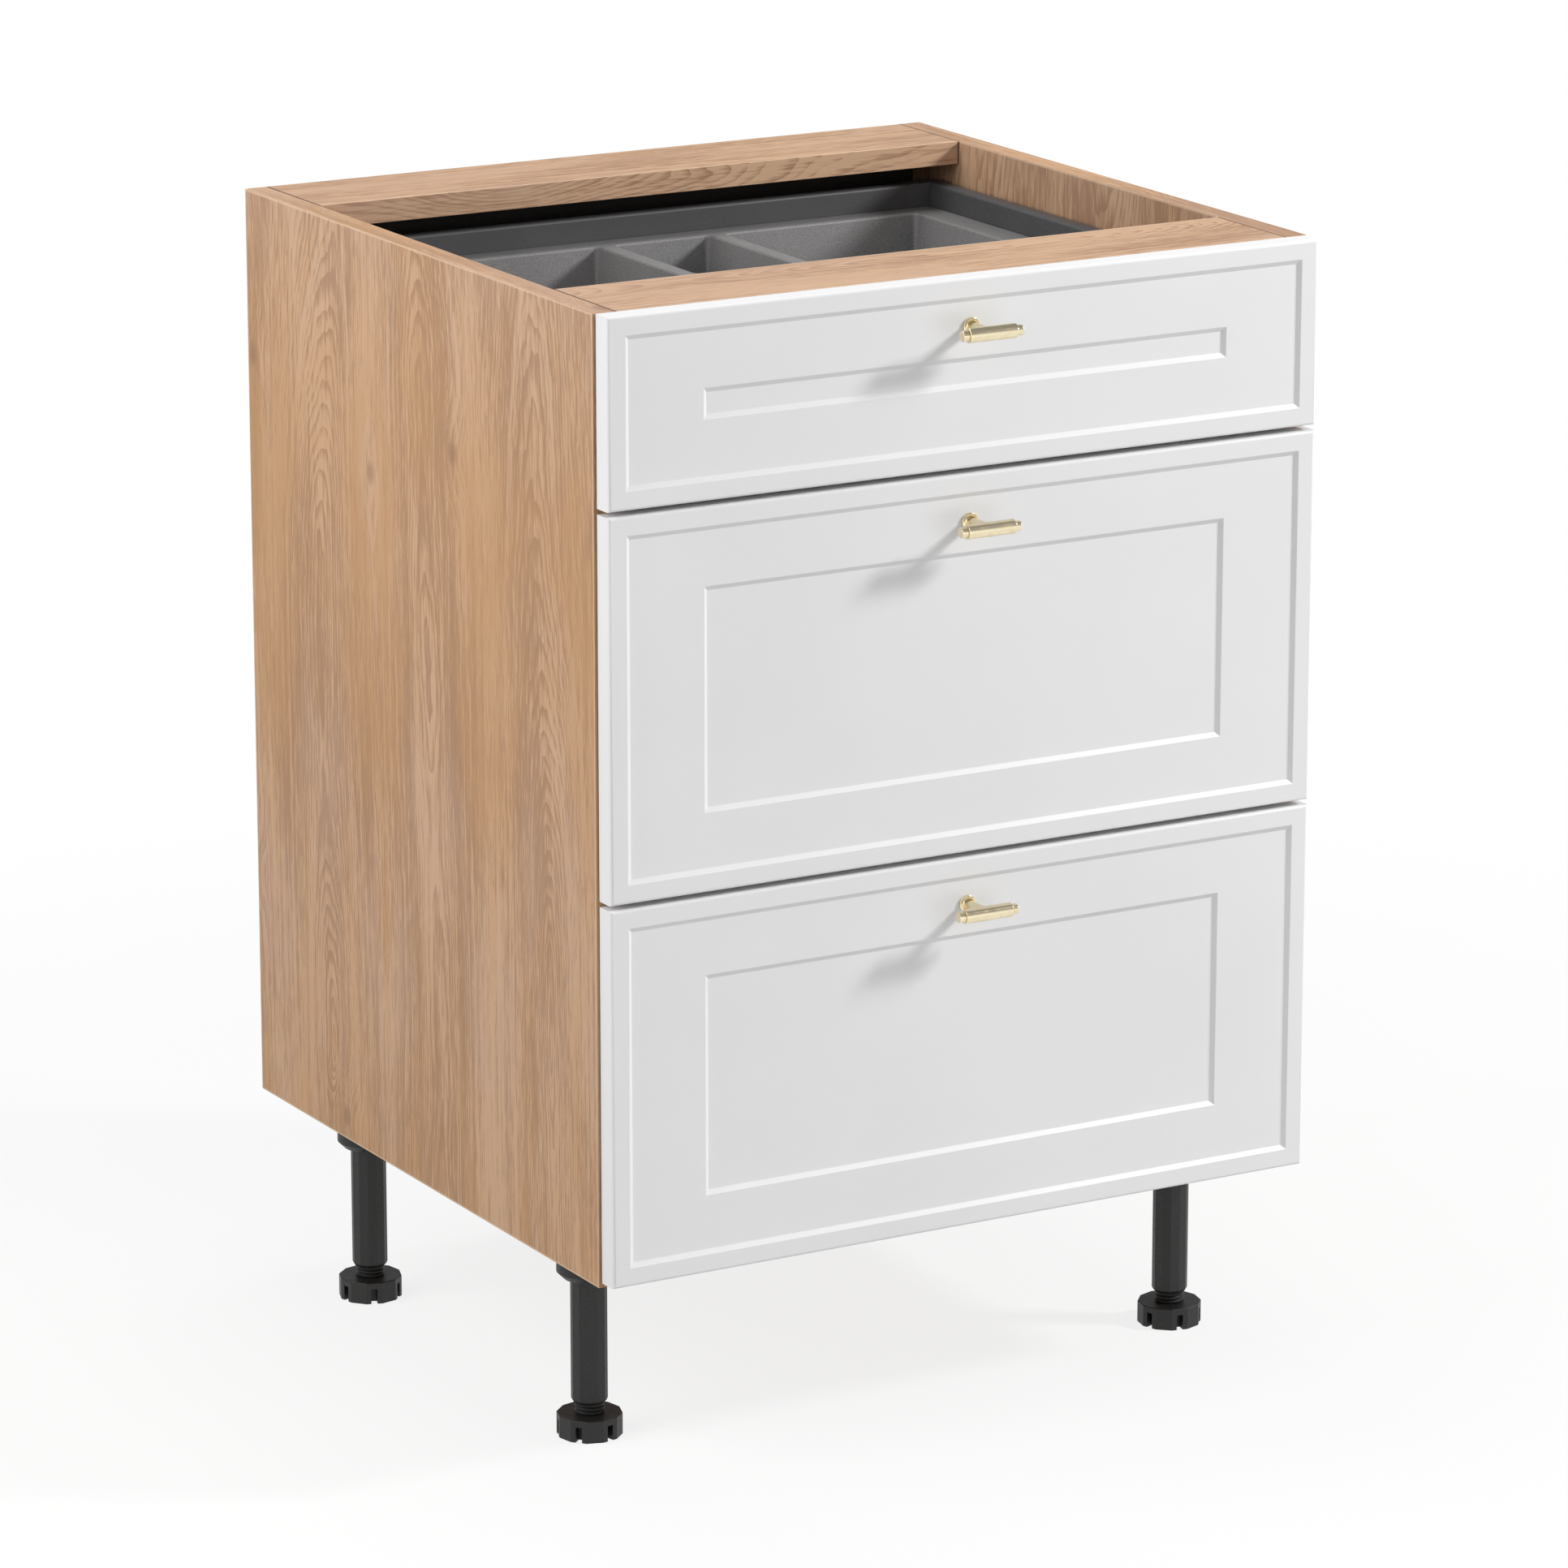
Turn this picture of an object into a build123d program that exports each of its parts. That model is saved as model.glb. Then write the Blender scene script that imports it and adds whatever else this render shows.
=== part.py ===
from build123d import *
from collections import namedtuple
import math
import os

# Kitchen base cabinet with three drawers: a boarded carcass on four levelling legs, framed fronts
# with bar knobs, slim steel drawer boxes on full-extension runners, and a cutlery tray.
# Millimetres. +X is to the right of someone who faces the fronts, +Y runs to the wall, +Z is up.
# The origin is on the floor, under the middle of the whole cabinet with its knobs.

# Carcass boards
carcass_width = 600.0
carcass_height = 720.0
carcass_depth = 560.0
board = 18.0
arris = 0.5  # easing along the banded edges
rail_depth = 92.0  # each of the two flat rails across the open top
back_thickness = 4.0
back_inset = 16.0  # from the rear edges of the boards to the back panel
groove_depth = 5.0
groove_play = 0.2

# Hidden fittings of the board joints
hole_play = 0.05  # around every dowel, bolt and screw
dowel_diameter = 8.0
dowel_length = 30.0
dowel_in_side = 12.0
dowel_edge = 30.0  # from a board's edge to its outermost dowel
panel_dowel_count = 3
rail_dowel_count = 2
cam_diameter = 15.0
cam_height = 13.0
cam_reach = 34.0  # from a board's end to the middle of its cam
cam_slot = 2.0  # width and depth of the driver slot
bolt_diameter = 6.0
bolt_in_side = 11.0

# Levelling legs
leg_height = 150.0  # floor to the underside of the carcass
leg_inset = 44.0  # from the outer side to the middle of a leg
leg_setback = 98.0  # from the front or rear edge to the middle of a leg
socket_diameter = 48.0
socket_height = 27.0
socket_roof = 6.0
socket_taper = 5.0
socket_play = 0.1
leg_screw_circle = 19.0
leg_screw_count = 3
leg_screw_diameter = 4.0
leg_screw_length = 18.0
leg_screw_head = 7.4
leg_screw_head_height = 2.4
tube_sides = 12
tube_diameter = 27.5
tube_end_chamfer = 2.0
tube_cap = 5.0
foot_diameter = 49.5
foot_height = 17.0
foot_wall = 7.0
foot_floor = 4.5
foot_slots = 6
foot_slot_width = 5.0
foot_slot_height = 12.0
bare_thread = 9.0  # between the foot and the tube
spindle_diameter = 22.5
spindle_core = 19.6
thread_pitch = 3.0
thread_turns = 19
thread_play = 0.3
foot_turns = {"front_left": 42.0, "front_right": 18.0, "rear_left": 11.0, "rear_right": 33.0}

# Drawer fronts
front_thickness = 18.0
front_gap = 1.0  # between the fronts and the carcass
front_reveal = 4.0  # under each front
side_reveal = 2.0
top_front_height = 140.0
front_edge_radius = 2.5
frame_border = 14.0  # from a front's edge to its outer step
field_border_x = 78.0  # from a front's edge to its inner step
field_border_z = 58.5
step_depth = 2.5
step_run = 3.0

# Bar knobs
knob_drop = 36.0  # below a front's top edge
knob_standoff = 29.0  # from the knob's seat to the bar's axis
bar_diameter = 11.0
bar_length = 40.0
tip_diameter = 8.0
tip_length = 5.0
bar_edge = 0.6
post_diameter = 7.5
post_seat = 2.5  # how far the post goes into the bar
rosette_diameter = 13.5
rosette_thickness = 2.0
rosette_flare = 3.0
knob_screw_diameter = 4.0
knob_screw_grip = 8.0
knob_screw_head = 8.0
knob_screw_head_height = 2.6

# Steel drawer boxes
side_gap = 4.0  # between the carcass and a drawer side
side_thickness = 13.0
side_radius = 2.5
top_side_height = 84.0
deep_side_height = 199.0
rear_room = 56.0  # between a drawer's inside and the back panel
sheet = 1.2
floor_flange = 10.0  # under the bottom board, along each side
floor_thickness = 16.0
back_depth = 12.0
back_lip = 15.0
front_bracket_depth = 8.0
rear_bracket_width = 20.0
tongue_length = 40.0
tongue_play = 0.3
peg_diameter = 10.0
peg_length = 11.0
peg_pitch = 32.0
peg_margin = 20.0  # from the ends of a bracket to its pegs

# Runners, each a cabinet rail, an I-shaped middle rail and a drawer rail
runner_sheet = 1.5
run_gap = 0.4
runner_setback = 3.0  # from the carcass's front edge
runner_end_gap = 1.0  # short of the rear end of a drawer's sides
channel_width = 28.0
channel_lip = 7.0
mid_flange = 2.0
mid_web = 3.0
mid_web_height = 8.2
mid_top_width = 16.0
cap_lip = 5.0
cap_shelf = 32.0  # from the carcass to the inner edge of a drawer rail
wall_plate_height = 32.0
top_runner_rise = 6.0  # from the top front's lower edge to its runner
runner_lift = 2.0  # from the bottom panel to the lowest runner
runner_screw_diameter = 5.0
runner_screw_length = 12.0
runner_screw_head = 8.0
runner_screw_height = 25.0  # above the runner's underside
runner_screw_margin = 40.0
runner_screw_count = 3

# Cutlery tray
tray_height = 48.0
tray_play = 1.5
tray_wall = 2.0
tray_rim = 1.8  # rounding of the compartment rims
tray_corner = 5.0
tray_draft = 4.0
tray_flange_side = 24.0
tray_flange_end = 20.0
tray_divider = 14.0
tray_right_width = 174.0
tray_middle_width = 84.0
tray_rear_length = 133.0

# Places that follow from those sizes
knob_projection = knob_standoff + bar_diameter / 2 - step_depth
overall_depth = carcass_depth + front_gap + front_thickness + knob_projection
carcass_rear = overall_depth / 2
carcass_front = carcass_rear - carcass_depth
carcass_bottom = leg_height
carcass_top = leg_height + carcass_height
inner_half = carcass_width / 2 - board
back_y = carcass_rear - back_inset - back_thickness
back_bottom = carcass_bottom + board - groove_depth
back_top = carcass_top - board + groove_depth
front_rear = carcass_front - front_gap
front_face = front_rear - front_thickness
front_width = carcass_width - 2 * side_reveal
deep_front_height = (carcass_height - top_front_height - 3 * front_reveal) / 2
knob_seat = front_face + step_depth
bar_y = knob_seat - knob_standoff
side_outer = inner_half - side_gap
side_inner = side_outer - side_thickness
drawer_back = back_y - rear_room
drawer_length = drawer_back - front_rear
runner_front = carcass_front + runner_setback
runner_length = drawer_back - runner_end_gap - runner_front
channel_height = 2 * runner_sheet + 2 * run_gap + mid_flange
mid_height = 2 * mid_flange + mid_web_height
runner_height = 2 * runner_sheet + 2 * run_gap + mid_height
tube_bottom = foot_height + bare_thread
tube_length = carcass_bottom - socket_roof - tube_bottom

leg_x = carcass_width / 2 - leg_inset
leg_places = {
    "front_left": (-leg_x, carcass_front + leg_setback),
    "front_right": (leg_x, carcass_front + leg_setback),
    "rear_left": (-leg_x, carcass_rear - leg_setback),
    "rear_right": (leg_x, carcass_rear - leg_setback),
}

# Boards that lie across the carcass: front edge, depth, underside and number of dowels at each end
cross_boards = {
    "bottom_panel": (carcass_front, carcass_depth, carcass_bottom, panel_dowel_count),
    "front_top_rail": (carcass_front, rail_depth, carcass_top - board, rail_dowel_count),
    "rear_top_rail": (carcass_rear - rail_depth, rail_depth, carcass_top - board, rail_dowel_count),
}

Drawer = namedtuple("Drawer", "name front_bottom front_height runner_base side_height")
bottom_front_z = carcass_bottom + front_reveal
middle_front_z = bottom_front_z + deep_front_height + front_reveal
top_front_z = middle_front_z + deep_front_height + front_reveal
deep_runner_rise = board + runner_lift - front_reveal
drawers = [
    Drawer("top", top_front_z, top_front_height, top_front_z + top_runner_rise, top_side_height),
    Drawer("middle", middle_front_z, deep_front_height, middle_front_z + deep_runner_rise, deep_side_height),
    Drawer("bottom", bottom_front_z, deep_front_height, bottom_front_z + deep_runner_rise, deep_side_height),
]


def keep(piece, node):
    """Label a finished piece and write it to its own file."""
    piece.part.label = node
    export_step(piece.part, f"parts/{node}.step")


def upright(x, y, z):
    """A plane at (x, y, z) that faces the front, with X across and Z up."""
    return Plane((x, y, z), x_dir=(1, 0, 0), z_dir=(0, -1, 0))


def dowel_rows(board_name):
    """Places of a cross board's dowels along its depth."""
    y, depth, _, count = cross_boards[board_name]
    step = (depth - 2 * dowel_edge) / (count - 1)
    return [y + dowel_edge + i * step for i in range(count)]


def cam_rows(board_name):
    """Places of a cross board's cams, halfway between its dowels."""
    rows = dowel_rows(board_name)
    return [(a + b) / 2 for a, b in zip(rows, rows[1:])]


def joint_places(rows):
    """Centres, at half board thickness, of the rows of every cross board."""
    return [(y, cross_boards[name][2] + board / 2) for name in cross_boards for y in rows(name)]


def side_panel(side):
    """A carcass side, grooved for the back and drilled for dowels and cam bolts from inside."""
    with BuildPart() as panel:
        with Locations((side * (inner_half + board / 2), carcass_front, carcass_bottom)):
            Box(board, carcass_depth, carcass_height, align=(Align.CENTER, Align.MIN, Align.MIN))
        fillet(panel.edges(), radius=arris)
        with Locations((side * inner_half, back_y - groove_play, back_bottom)):
            Box(
                2 * groove_depth,
                back_thickness + 2 * groove_play,
                back_top - back_bottom,
                align=(Align.CENTER, Align.MIN, Align.MIN),
                mode=Mode.SUBTRACT,
            )
        with Locations(*[(side * inner_half, y, z) for y, z in joint_places(dowel_rows)]):
            Cylinder(
                dowel_diameter / 2 + hole_play, 2 * dowel_in_side, rotation=(0, 90, 0), mode=Mode.SUBTRACT
            )
        with Locations(*[(side * inner_half, y, z) for y, z in joint_places(cam_rows)]):
            Cylinder(bolt_diameter / 2 + hole_play, 2 * bolt_in_side, rotation=(0, 90, 0), mode=Mode.SUBTRACT)
        with Locations(*runner_screw_places(side)):
            Cylinder(
                runner_screw_diameter / 2 + hole_play,
                2 * runner_screw_length,
                rotation=(0, 90, 0),
                mode=Mode.SUBTRACT,
            )
    return panel


def cross_board(name):
    """A board between the sides, drilled at both ends, with its cam holes from below."""
    y, depth, z, _ = cross_boards[name]
    ends = (-inner_half, inner_half)
    dowel_hole = dowel_length - dowel_in_side
    with BuildPart() as panel:
        with Locations((0, y, z)):
            Box(2 * inner_half, depth, board, align=(Align.CENTER, Align.MIN, Align.MIN))
        fillet(panel.edges().filter_by(Axis.X), radius=arris)
        with Locations(*[(x, row, z + board / 2) for x in ends for row in dowel_rows(name)]):
            Cylinder(
                dowel_diameter / 2 + hole_play, 2 * dowel_hole, rotation=(0, 90, 0), mode=Mode.SUBTRACT
            )
        with Locations(*[(x, row, z + board / 2) for x in ends for row in cam_rows(name)]):
            Cylinder(bolt_diameter / 2 + hole_play, 2 * cam_reach, rotation=(0, 90, 0), mode=Mode.SUBTRACT)
        cam_x = inner_half - cam_reach
        with Locations(*[(x, row, z) for x in (-cam_x, cam_x) for row in cam_rows(name)]):
            Cylinder(
                cam_diameter / 2 + hole_play,
                cam_height,
                align=(Align.CENTER, Align.CENTER, Align.MIN),
                mode=Mode.SUBTRACT,
            )
        if y + depth > back_y:
            # Groove for the back, in the face towards the inside of the cabinet
            groove_z = z if z > carcass_bottom else z + board
            with Locations((0, back_y - groove_play, groove_z)):
                Box(
                    2 * inner_half,
                    back_thickness + 2 * groove_play,
                    2 * groove_depth,
                    align=(Align.CENTER, Align.MIN, Align.CENTER),
                    mode=Mode.SUBTRACT,
                )
        if z == carcass_bottom:
            with Locations(*[(x, leg_y, z) for x, leg_y in leg_places.values()]):
                with PolarLocations(leg_screw_circle, leg_screw_count):
                    Cylinder(
                        leg_screw_diameter / 2 + hole_play,
                        leg_screw_length - socket_roof,
                        align=(Align.CENTER, Align.CENTER, Align.MIN),
                        mode=Mode.SUBTRACT,
                    )
    return panel


def back_panel():
    """The thin back, held in grooves on all four sides."""
    with BuildPart() as panel:
        with Locations((0, back_y, back_bottom + groove_play)):
            Box(
                2 * (inner_half + groove_depth - groove_play),
                back_thickness,
                back_top - back_bottom - 2 * groove_play,
                align=(Align.CENTER, Align.MIN, Align.MIN),
            )
    return panel


def carcass_dowels():
    """All wooden dowels between the sides and the cross boards."""
    dowel_x = inner_half + dowel_in_side - dowel_length / 2
    with BuildPart() as dowels:
        with Locations(*[(s * dowel_x, y, z) for s in (-1, 1) for y, z in joint_places(dowel_rows)]):
            Cylinder(dowel_diameter / 2, dowel_length, rotation=(0, 90, 0))
        chamfer(dowels.edges().filter_by(GeomType.CIRCLE), length=arris)
    return dowels


def cam_locks():
    """Turned cams let into the undersides of the cross boards, each with a passage for its bolt."""
    cam_x = inner_half - cam_reach
    with BuildPart() as cams:
        for name, (_, _, z, _) in cross_boards.items():
            for side in (-1, 1):
                with Locations(*[(side * cam_x, row, z) for row in cam_rows(name)]):
                    Cylinder(cam_diameter / 2, cam_height, align=(Align.CENTER, Align.CENTER, Align.MIN))
                    Box(cam_diameter * 0.6, cam_slot, 2 * cam_slot, mode=Mode.SUBTRACT)
                with Locations(*[(side * inner_half, row, z + board / 2) for row in cam_rows(name)]):
                    Cylinder(
                        bolt_diameter / 2 + hole_play, 2 * cam_reach, rotation=(0, 90, 0), mode=Mode.SUBTRACT
                    )
    return cams


def cam_bolts():
    """Steel bolts from the sides into the cams."""
    bolt_length = cam_reach + bolt_in_side
    bolt_x = inner_half + bolt_in_side - bolt_length / 2
    with BuildPart() as bolts:
        with Locations(*[(s * bolt_x, y, z) for s in (-1, 1) for y, z in joint_places(cam_rows)]):
            Cylinder(bolt_diameter / 2, bolt_length, rotation=(0, 90, 0))
    return bolts


def leg_sockets():
    """Collars screwed under the bottom panel, each open below for its leg tube."""
    floor_z = carcass_bottom - socket_height
    with BuildPart() as sockets:
        with Locations(*[(x, y, carcass_bottom) for x, y in leg_places.values()]):
            Cylinder(
                socket_diameter / 2,
                socket_height - socket_taper,
                align=(Align.CENTER, Align.CENTER, Align.MAX),
            )
        with Locations(*[(x, y, floor_z) for x, y in leg_places.values()]):
            Cone(
                socket_diameter / 2 - socket_taper,
                socket_diameter / 2,
                socket_taper,
                align=(Align.CENTER, Align.CENTER, Align.MIN),
            )
        with BuildSketch(Plane.XY.offset(floor_z)):
            with Locations(*leg_places.values()):
                RegularPolygon(tube_diameter / 2 + socket_play, tube_sides)
        extrude(amount=socket_height - socket_roof, mode=Mode.SUBTRACT)
        with Locations(*[(x, y, carcass_bottom) for x, y in leg_places.values()]):
            with PolarLocations(leg_screw_circle, leg_screw_count):
                Cylinder(
                    leg_screw_diameter / 2 + hole_play,
                    socket_roof,
                    align=(Align.CENTER, Align.CENTER, Align.MAX),
                    mode=Mode.SUBTRACT,
                )
        with Locations(*[(x, y, floor_z) for x, y in leg_places.values()]):
            with PolarLocations(leg_screw_circle, leg_screw_count):
                Cylinder(
                    leg_screw_head / 2 + hole_play,
                    socket_height - socket_roof,
                    align=(Align.CENTER, Align.CENTER, Align.MIN),
                    mode=Mode.SUBTRACT,
                )
    return sockets


def leg_screws():
    """Pan-head screws that hold the sockets to the bottom panel."""
    seat_z = carcass_bottom - socket_roof
    with BuildPart() as screws:
        with Locations(*[(x, y, seat_z) for x, y in leg_places.values()]):
            with PolarLocations(leg_screw_circle, leg_screw_count):
                Cylinder(
                    leg_screw_diameter / 2, leg_screw_length, align=(Align.CENTER, Align.CENTER, Align.MIN)
                )
                Cylinder(
                    leg_screw_head / 2, leg_screw_head_height, align=(Align.CENTER, Align.CENTER, Align.MAX)
                )
    return screws


def leg_tube(place):
    """A twelve-sided leg tube, bored from below for the foot's spindle."""
    x, y = leg_places[place]
    with BuildPart() as tube:
        with BuildSketch(Plane((x, y, tube_bottom))):
            RegularPolygon(tube_diameter / 2, tube_sides)
        extrude(amount=tube_length)
        lower_rim = tube.faces().sort_by(Axis.Z)[0].edges()
        chamfer(lower_rim, length=tube_end_chamfer, length2=tube_end_chamfer / 2)
        with Locations((x, y, tube_bottom)):
            Cylinder(
                spindle_diameter / 2 + thread_play,
                tube_length - tube_cap,
                align=(Align.CENTER, Align.CENTER, Align.MIN),
                mode=Mode.SUBTRACT,
            )
    return tube


def foot(place):
    """A twelve-sided foot with slots for a spanner, hollow below, under a ridged spindle."""
    x, y = leg_places[place]
    flat_radius = foot_diameter / 2 * math.cos(math.pi / tube_sides)
    ridge = [(0, 0)]
    for turn in range(thread_turns):
        z = turn * thread_pitch
        ridge += [
            (spindle_core / 2, z),
            (spindle_diameter / 2, z + 0.35 * thread_pitch),
            (spindle_diameter / 2, z + 0.65 * thread_pitch),
        ]
    top = thread_turns * thread_pitch
    ridge += [(spindle_core / 2, top), (0, top)]
    with BuildPart() as piece:
        with BuildSketch(Plane((x, y, 0))):
            RegularPolygon(foot_diameter / 2, tube_sides, rotation=foot_turns[place] + 180 / tube_sides)
        extrude(amount=foot_height)
        chamfer(piece.faces().sort_by(Axis.Z)[-1].edges(), length=arris)
        with BuildSketch(Plane((x, y, 0))):
            Circle(flat_radius - foot_wall)
        extrude(amount=foot_height - foot_floor, mode=Mode.SUBTRACT)
        with Locations((x, y, 0)):
            with PolarLocations(flat_radius, foot_slots, start_angle=foot_turns[place]):
                Box(2 * foot_wall, foot_slot_width, 2 * foot_slot_height, mode=Mode.SUBTRACT)
        with BuildSketch(Plane((x, y, foot_height), x_dir=(1, 0, 0), z_dir=(0, -1, 0))):
            with BuildLine():
                Polyline(*ridge, close=True)
            make_face()
        revolve(axis=Axis((x, y, 0), (0, 0, 1)))
    return piece


def peg_heights(drawer):
    """Heights of a front bracket's pegs, a whole number of pitches apart."""
    first = drawer.runner_base + runner_height + peg_margin
    spans = math.floor((drawer.side_height - 2 * peg_margin) / peg_pitch)
    return [first, first + spans * peg_pitch]


def drawer_front(drawer):
    """A framed front: rounded edges, an outer step down to the rails and an inner one to the field."""
    middle_z = drawer.front_bottom + drawer.front_height / 2
    knob_z = drawer.front_bottom + drawer.front_height - knob_drop
    peg_x = side_outer - side_thickness / 2
    with BuildPart() as front:
        with Locations((0, front_rear, drawer.front_bottom)):
            Box(
                front_width,
                front_thickness,
                drawer.front_height,
                align=(Align.CENTER, Align.MAX, Align.MIN),
            )
        fillet(front.faces().sort_by(Axis.Y)[0].edges(), radius=front_edge_radius)
        fillet(front.faces().sort_by(Axis.Y)[-1].edges(), radius=arris)
        for level, (border_x, border_z) in enumerate(
            ((frame_border, frame_border), (field_border_x, field_border_z))
        ):
            mouth_y = front_face + level * step_depth
            width = front_width - 2 * border_x
            height = drawer.front_height - 2 * border_z
            with BuildSketch(upright(0, mouth_y, middle_z)):
                Rectangle(width, height)
            with BuildSketch(upright(0, mouth_y + step_depth, middle_z)):
                Rectangle(width - 2 * step_run, height - 2 * step_run)
            loft(mode=Mode.SUBTRACT)
        with BuildSketch(upright(0, front_rear, knob_z)):
            Circle(knob_screw_diameter / 2 + hole_play)
        extrude(amount=front_thickness, mode=Mode.SUBTRACT)
        with BuildSketch(upright(0, front_rear, 0)):
            with Locations(*[(s * peg_x, z) for s in (-1, 1) for z in peg_heights(drawer)]):
                Circle(peg_diameter / 2 + hole_play)
        extrude(amount=peg_length, mode=Mode.SUBTRACT)
    return front


def knob_bar(drawer):
    """A round bar with a slimmer tip at each end, bored at the back for its post."""
    knob_z = drawer.front_bottom + drawer.front_height - knob_drop
    with BuildPart() as bar:
        with Locations((0, bar_y, knob_z)):
            Cylinder(bar_diameter / 2, bar_length, rotation=(0, 90, 0))
            Cylinder(tip_diameter / 2, bar_length + 2 * tip_length, rotation=(0, 90, 0))
        rims = bar.edges().filter_by(GeomType.CIRCLE)
        wide = rims.filter_by(lambda rim: rim.radius > tip_diameter / 2 + bar_edge)
        fillet(wide + rims.group_by(Axis.X)[0] + rims.group_by(Axis.X)[-1], radius=bar_edge)
        with BuildSketch(upright(0, bar_y + bar_diameter / 2, knob_z)):
            Circle(post_diameter / 2 + hole_play)
        extrude(amount=post_seat, mode=Mode.SUBTRACT)
    return bar


def knob_post(drawer):
    """A turned post with a flared rosette that seats on the front."""
    knob_z = drawer.front_bottom + drawer.front_height - knob_drop
    length = knob_standoff - bar_diameter / 2 + post_seat
    with BuildPart() as post:
        with BuildSketch(Plane((0, knob_seat, knob_z))):
            with BuildLine():
                Polyline(
                    (0, 0),
                    (rosette_diameter / 2, 0),
                    (rosette_diameter / 2, -rosette_thickness),
                    (post_diameter / 2 + rosette_flare / 2, -rosette_thickness),
                    (post_diameter / 2, -rosette_thickness - rosette_flare),
                    (post_diameter / 2, -length),
                    (0, -length),
                    close=True,
                )
            make_face()
        revolve(axis=Axis((0, knob_seat, knob_z), (0, 1, 0)))
        with BuildSketch(upright(0, knob_seat, knob_z)):
            Circle(knob_screw_diameter / 2 + hole_play)
        extrude(amount=knob_screw_grip, mode=Mode.SUBTRACT)
    return post


def knob_screw(drawer):
    """The machine screw that holds a knob from inside the drawer."""
    knob_z = drawer.front_bottom + drawer.front_height - knob_drop
    with BuildPart() as screw:
        with BuildSketch(upright(0, front_rear, knob_z)):
            Circle(knob_screw_diameter / 2)
        extrude(amount=front_thickness - step_depth + knob_screw_grip)
        with BuildSketch(upright(0, front_rear, knob_z)):
            Circle(knob_screw_head / 2)
        extrude(amount=-knob_screw_head_height)
    return screw


def drawer_side(drawer, side):
    """A double-walled steel side, with a flange under the bottom board."""
    base = drawer.runner_base + runner_height
    start = front_rear + front_bracket_depth
    with BuildPart() as piece:
        with BuildSketch(upright(side * (side_outer - side_thickness / 2), start, base)) as profile:
            Rectangle(side_thickness, drawer.side_height, align=(Align.CENTER, Align.MIN))
            fillet(profile.vertices().group_by(Axis.Y)[-1], radius=side_radius)
            offset(amount=-sheet, mode=Mode.SUBTRACT)
            with Locations((-side * side_thickness / 2, 0)):
                Rectangle(floor_flange * 2, sheet, align=(Align.CENTER, Align.MIN))
        extrude(amount=start - drawer_back)
    return piece


def drawer_floor(drawer):
    """The bottom board, on the flanges of the two sides."""
    base = drawer.runner_base + runner_height + sheet
    with BuildPart() as floor:
        with Locations((0, front_rear, base)):
            Box(
                2 * side_inner,
                drawer_length + back_depth,
                floor_thickness,
                align=(Align.CENTER, Align.MIN, Align.MIN),
            )
    return floor


def drawer_rear(drawer):
    """The folded steel back, which stands on the bottom board between the rear brackets."""
    base = drawer.runner_base + runner_height + sheet + floor_thickness
    height = drawer.side_height - sheet - floor_thickness
    half = side_inner - rear_bracket_width
    with BuildPart() as back:
        with BuildSketch(Plane((-half, drawer_back, base), x_dir=(0, 1, 0), z_dir=(1, 0, 0))) as profile:
            Rectangle(back_depth, height, align=(Align.MIN, Align.MIN))
            fillet(profile.vertices().group_by(Axis.Y)[-1], radius=side_radius)
            offset(amount=-sheet, mode=Mode.SUBTRACT)
            with Locations((sheet, 0)):
                Rectangle(
                    back_depth, height - back_lip, align=(Align.MIN, Align.MIN), mode=Mode.SUBTRACT
                )
        extrude(amount=2 * half)
    return back


def rear_brackets(drawer):
    """Corner connectors with a tongue into each side and one into the back."""
    base = drawer.runner_base + runner_height
    floor_top = base + sheet + floor_thickness
    top = base + drawer.side_height
    tongue = side_thickness - 2 * sheet - 2 * tongue_play
    back_tongue = back_depth - 2 * sheet - 2 * tongue_play
    room = sheet + side_radius
    with BuildPart() as brackets:
        with Locations((side_outer, drawer_back, base)):
            Box(side_thickness, back_depth, top - base, align=(Align.MAX, Align.MIN, Align.MIN))
        with Locations((side_inner, drawer_back, floor_top)):
            Box(rear_bracket_width, back_depth, top - floor_top, align=(Align.MAX, Align.MIN, Align.MIN))
        fillet(brackets.faces().sort_by(Axis.Z)[-1].edges(), radius=arris)
        with Locations((side_outer - side_thickness / 2, drawer_back, base + room)):
            Box(
                tongue,
                tongue_length,
                drawer.side_height - 2 * room,
                align=(Align.CENTER, Align.MAX, Align.MIN),
            )
        with Locations((side_inner - rear_bracket_width, drawer_back + sheet + tongue_play, floor_top)):
            Box(
                tongue_length,
                back_tongue,
                top - floor_top - room,
                align=(Align.MAX, Align.MIN, Align.MIN),
            )
        mirror(about=Plane.YZ)
    return brackets


def front_brackets(drawer):
    """Moulded caps between the sides and the front, with pegs pressed into the front."""
    base = drawer.runner_base + runner_height
    middle_x = side_outer - side_thickness / 2
    tongue = side_thickness - 2 * sheet - 2 * tongue_play
    room = sheet + side_radius
    with BuildPart() as brackets:
        with Locations((middle_x, front_rear, base)):
            Box(
                side_thickness,
                front_bracket_depth,
                drawer.side_height,
                align=(Align.CENTER, Align.MIN, Align.MIN),
            )
        fillet(brackets.faces().sort_by(Axis.Z)[-1].edges(), radius=arris)
        with Locations((middle_x, front_rear + front_bracket_depth, base + room)):
            Box(
                tongue,
                tongue_length,
                drawer.side_height - 2 * room,
                align=(Align.CENTER, Align.MIN, Align.MIN),
            )
        with BuildSketch(upright(middle_x, front_rear, 0)):
            with Locations(*[(0, z) for z in peg_heights(drawer)]):
                Circle(peg_diameter / 2)
        extrude(amount=peg_length)
        mirror(about=Plane.YZ)
    return brackets


def runner_screw_places(side, drawer_list=drawers):
    """Where the cabinet rails are screwed to one carcass side."""
    reach = (runner_length - 2 * runner_screw_margin) / (runner_screw_count - 1)
    first = runner_front + runner_screw_margin
    return [
        (side * inner_half, first + i * reach, drawer.runner_base + runner_screw_height)
        for drawer in drawer_list
        for i in range(runner_screw_count)
    ]


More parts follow.
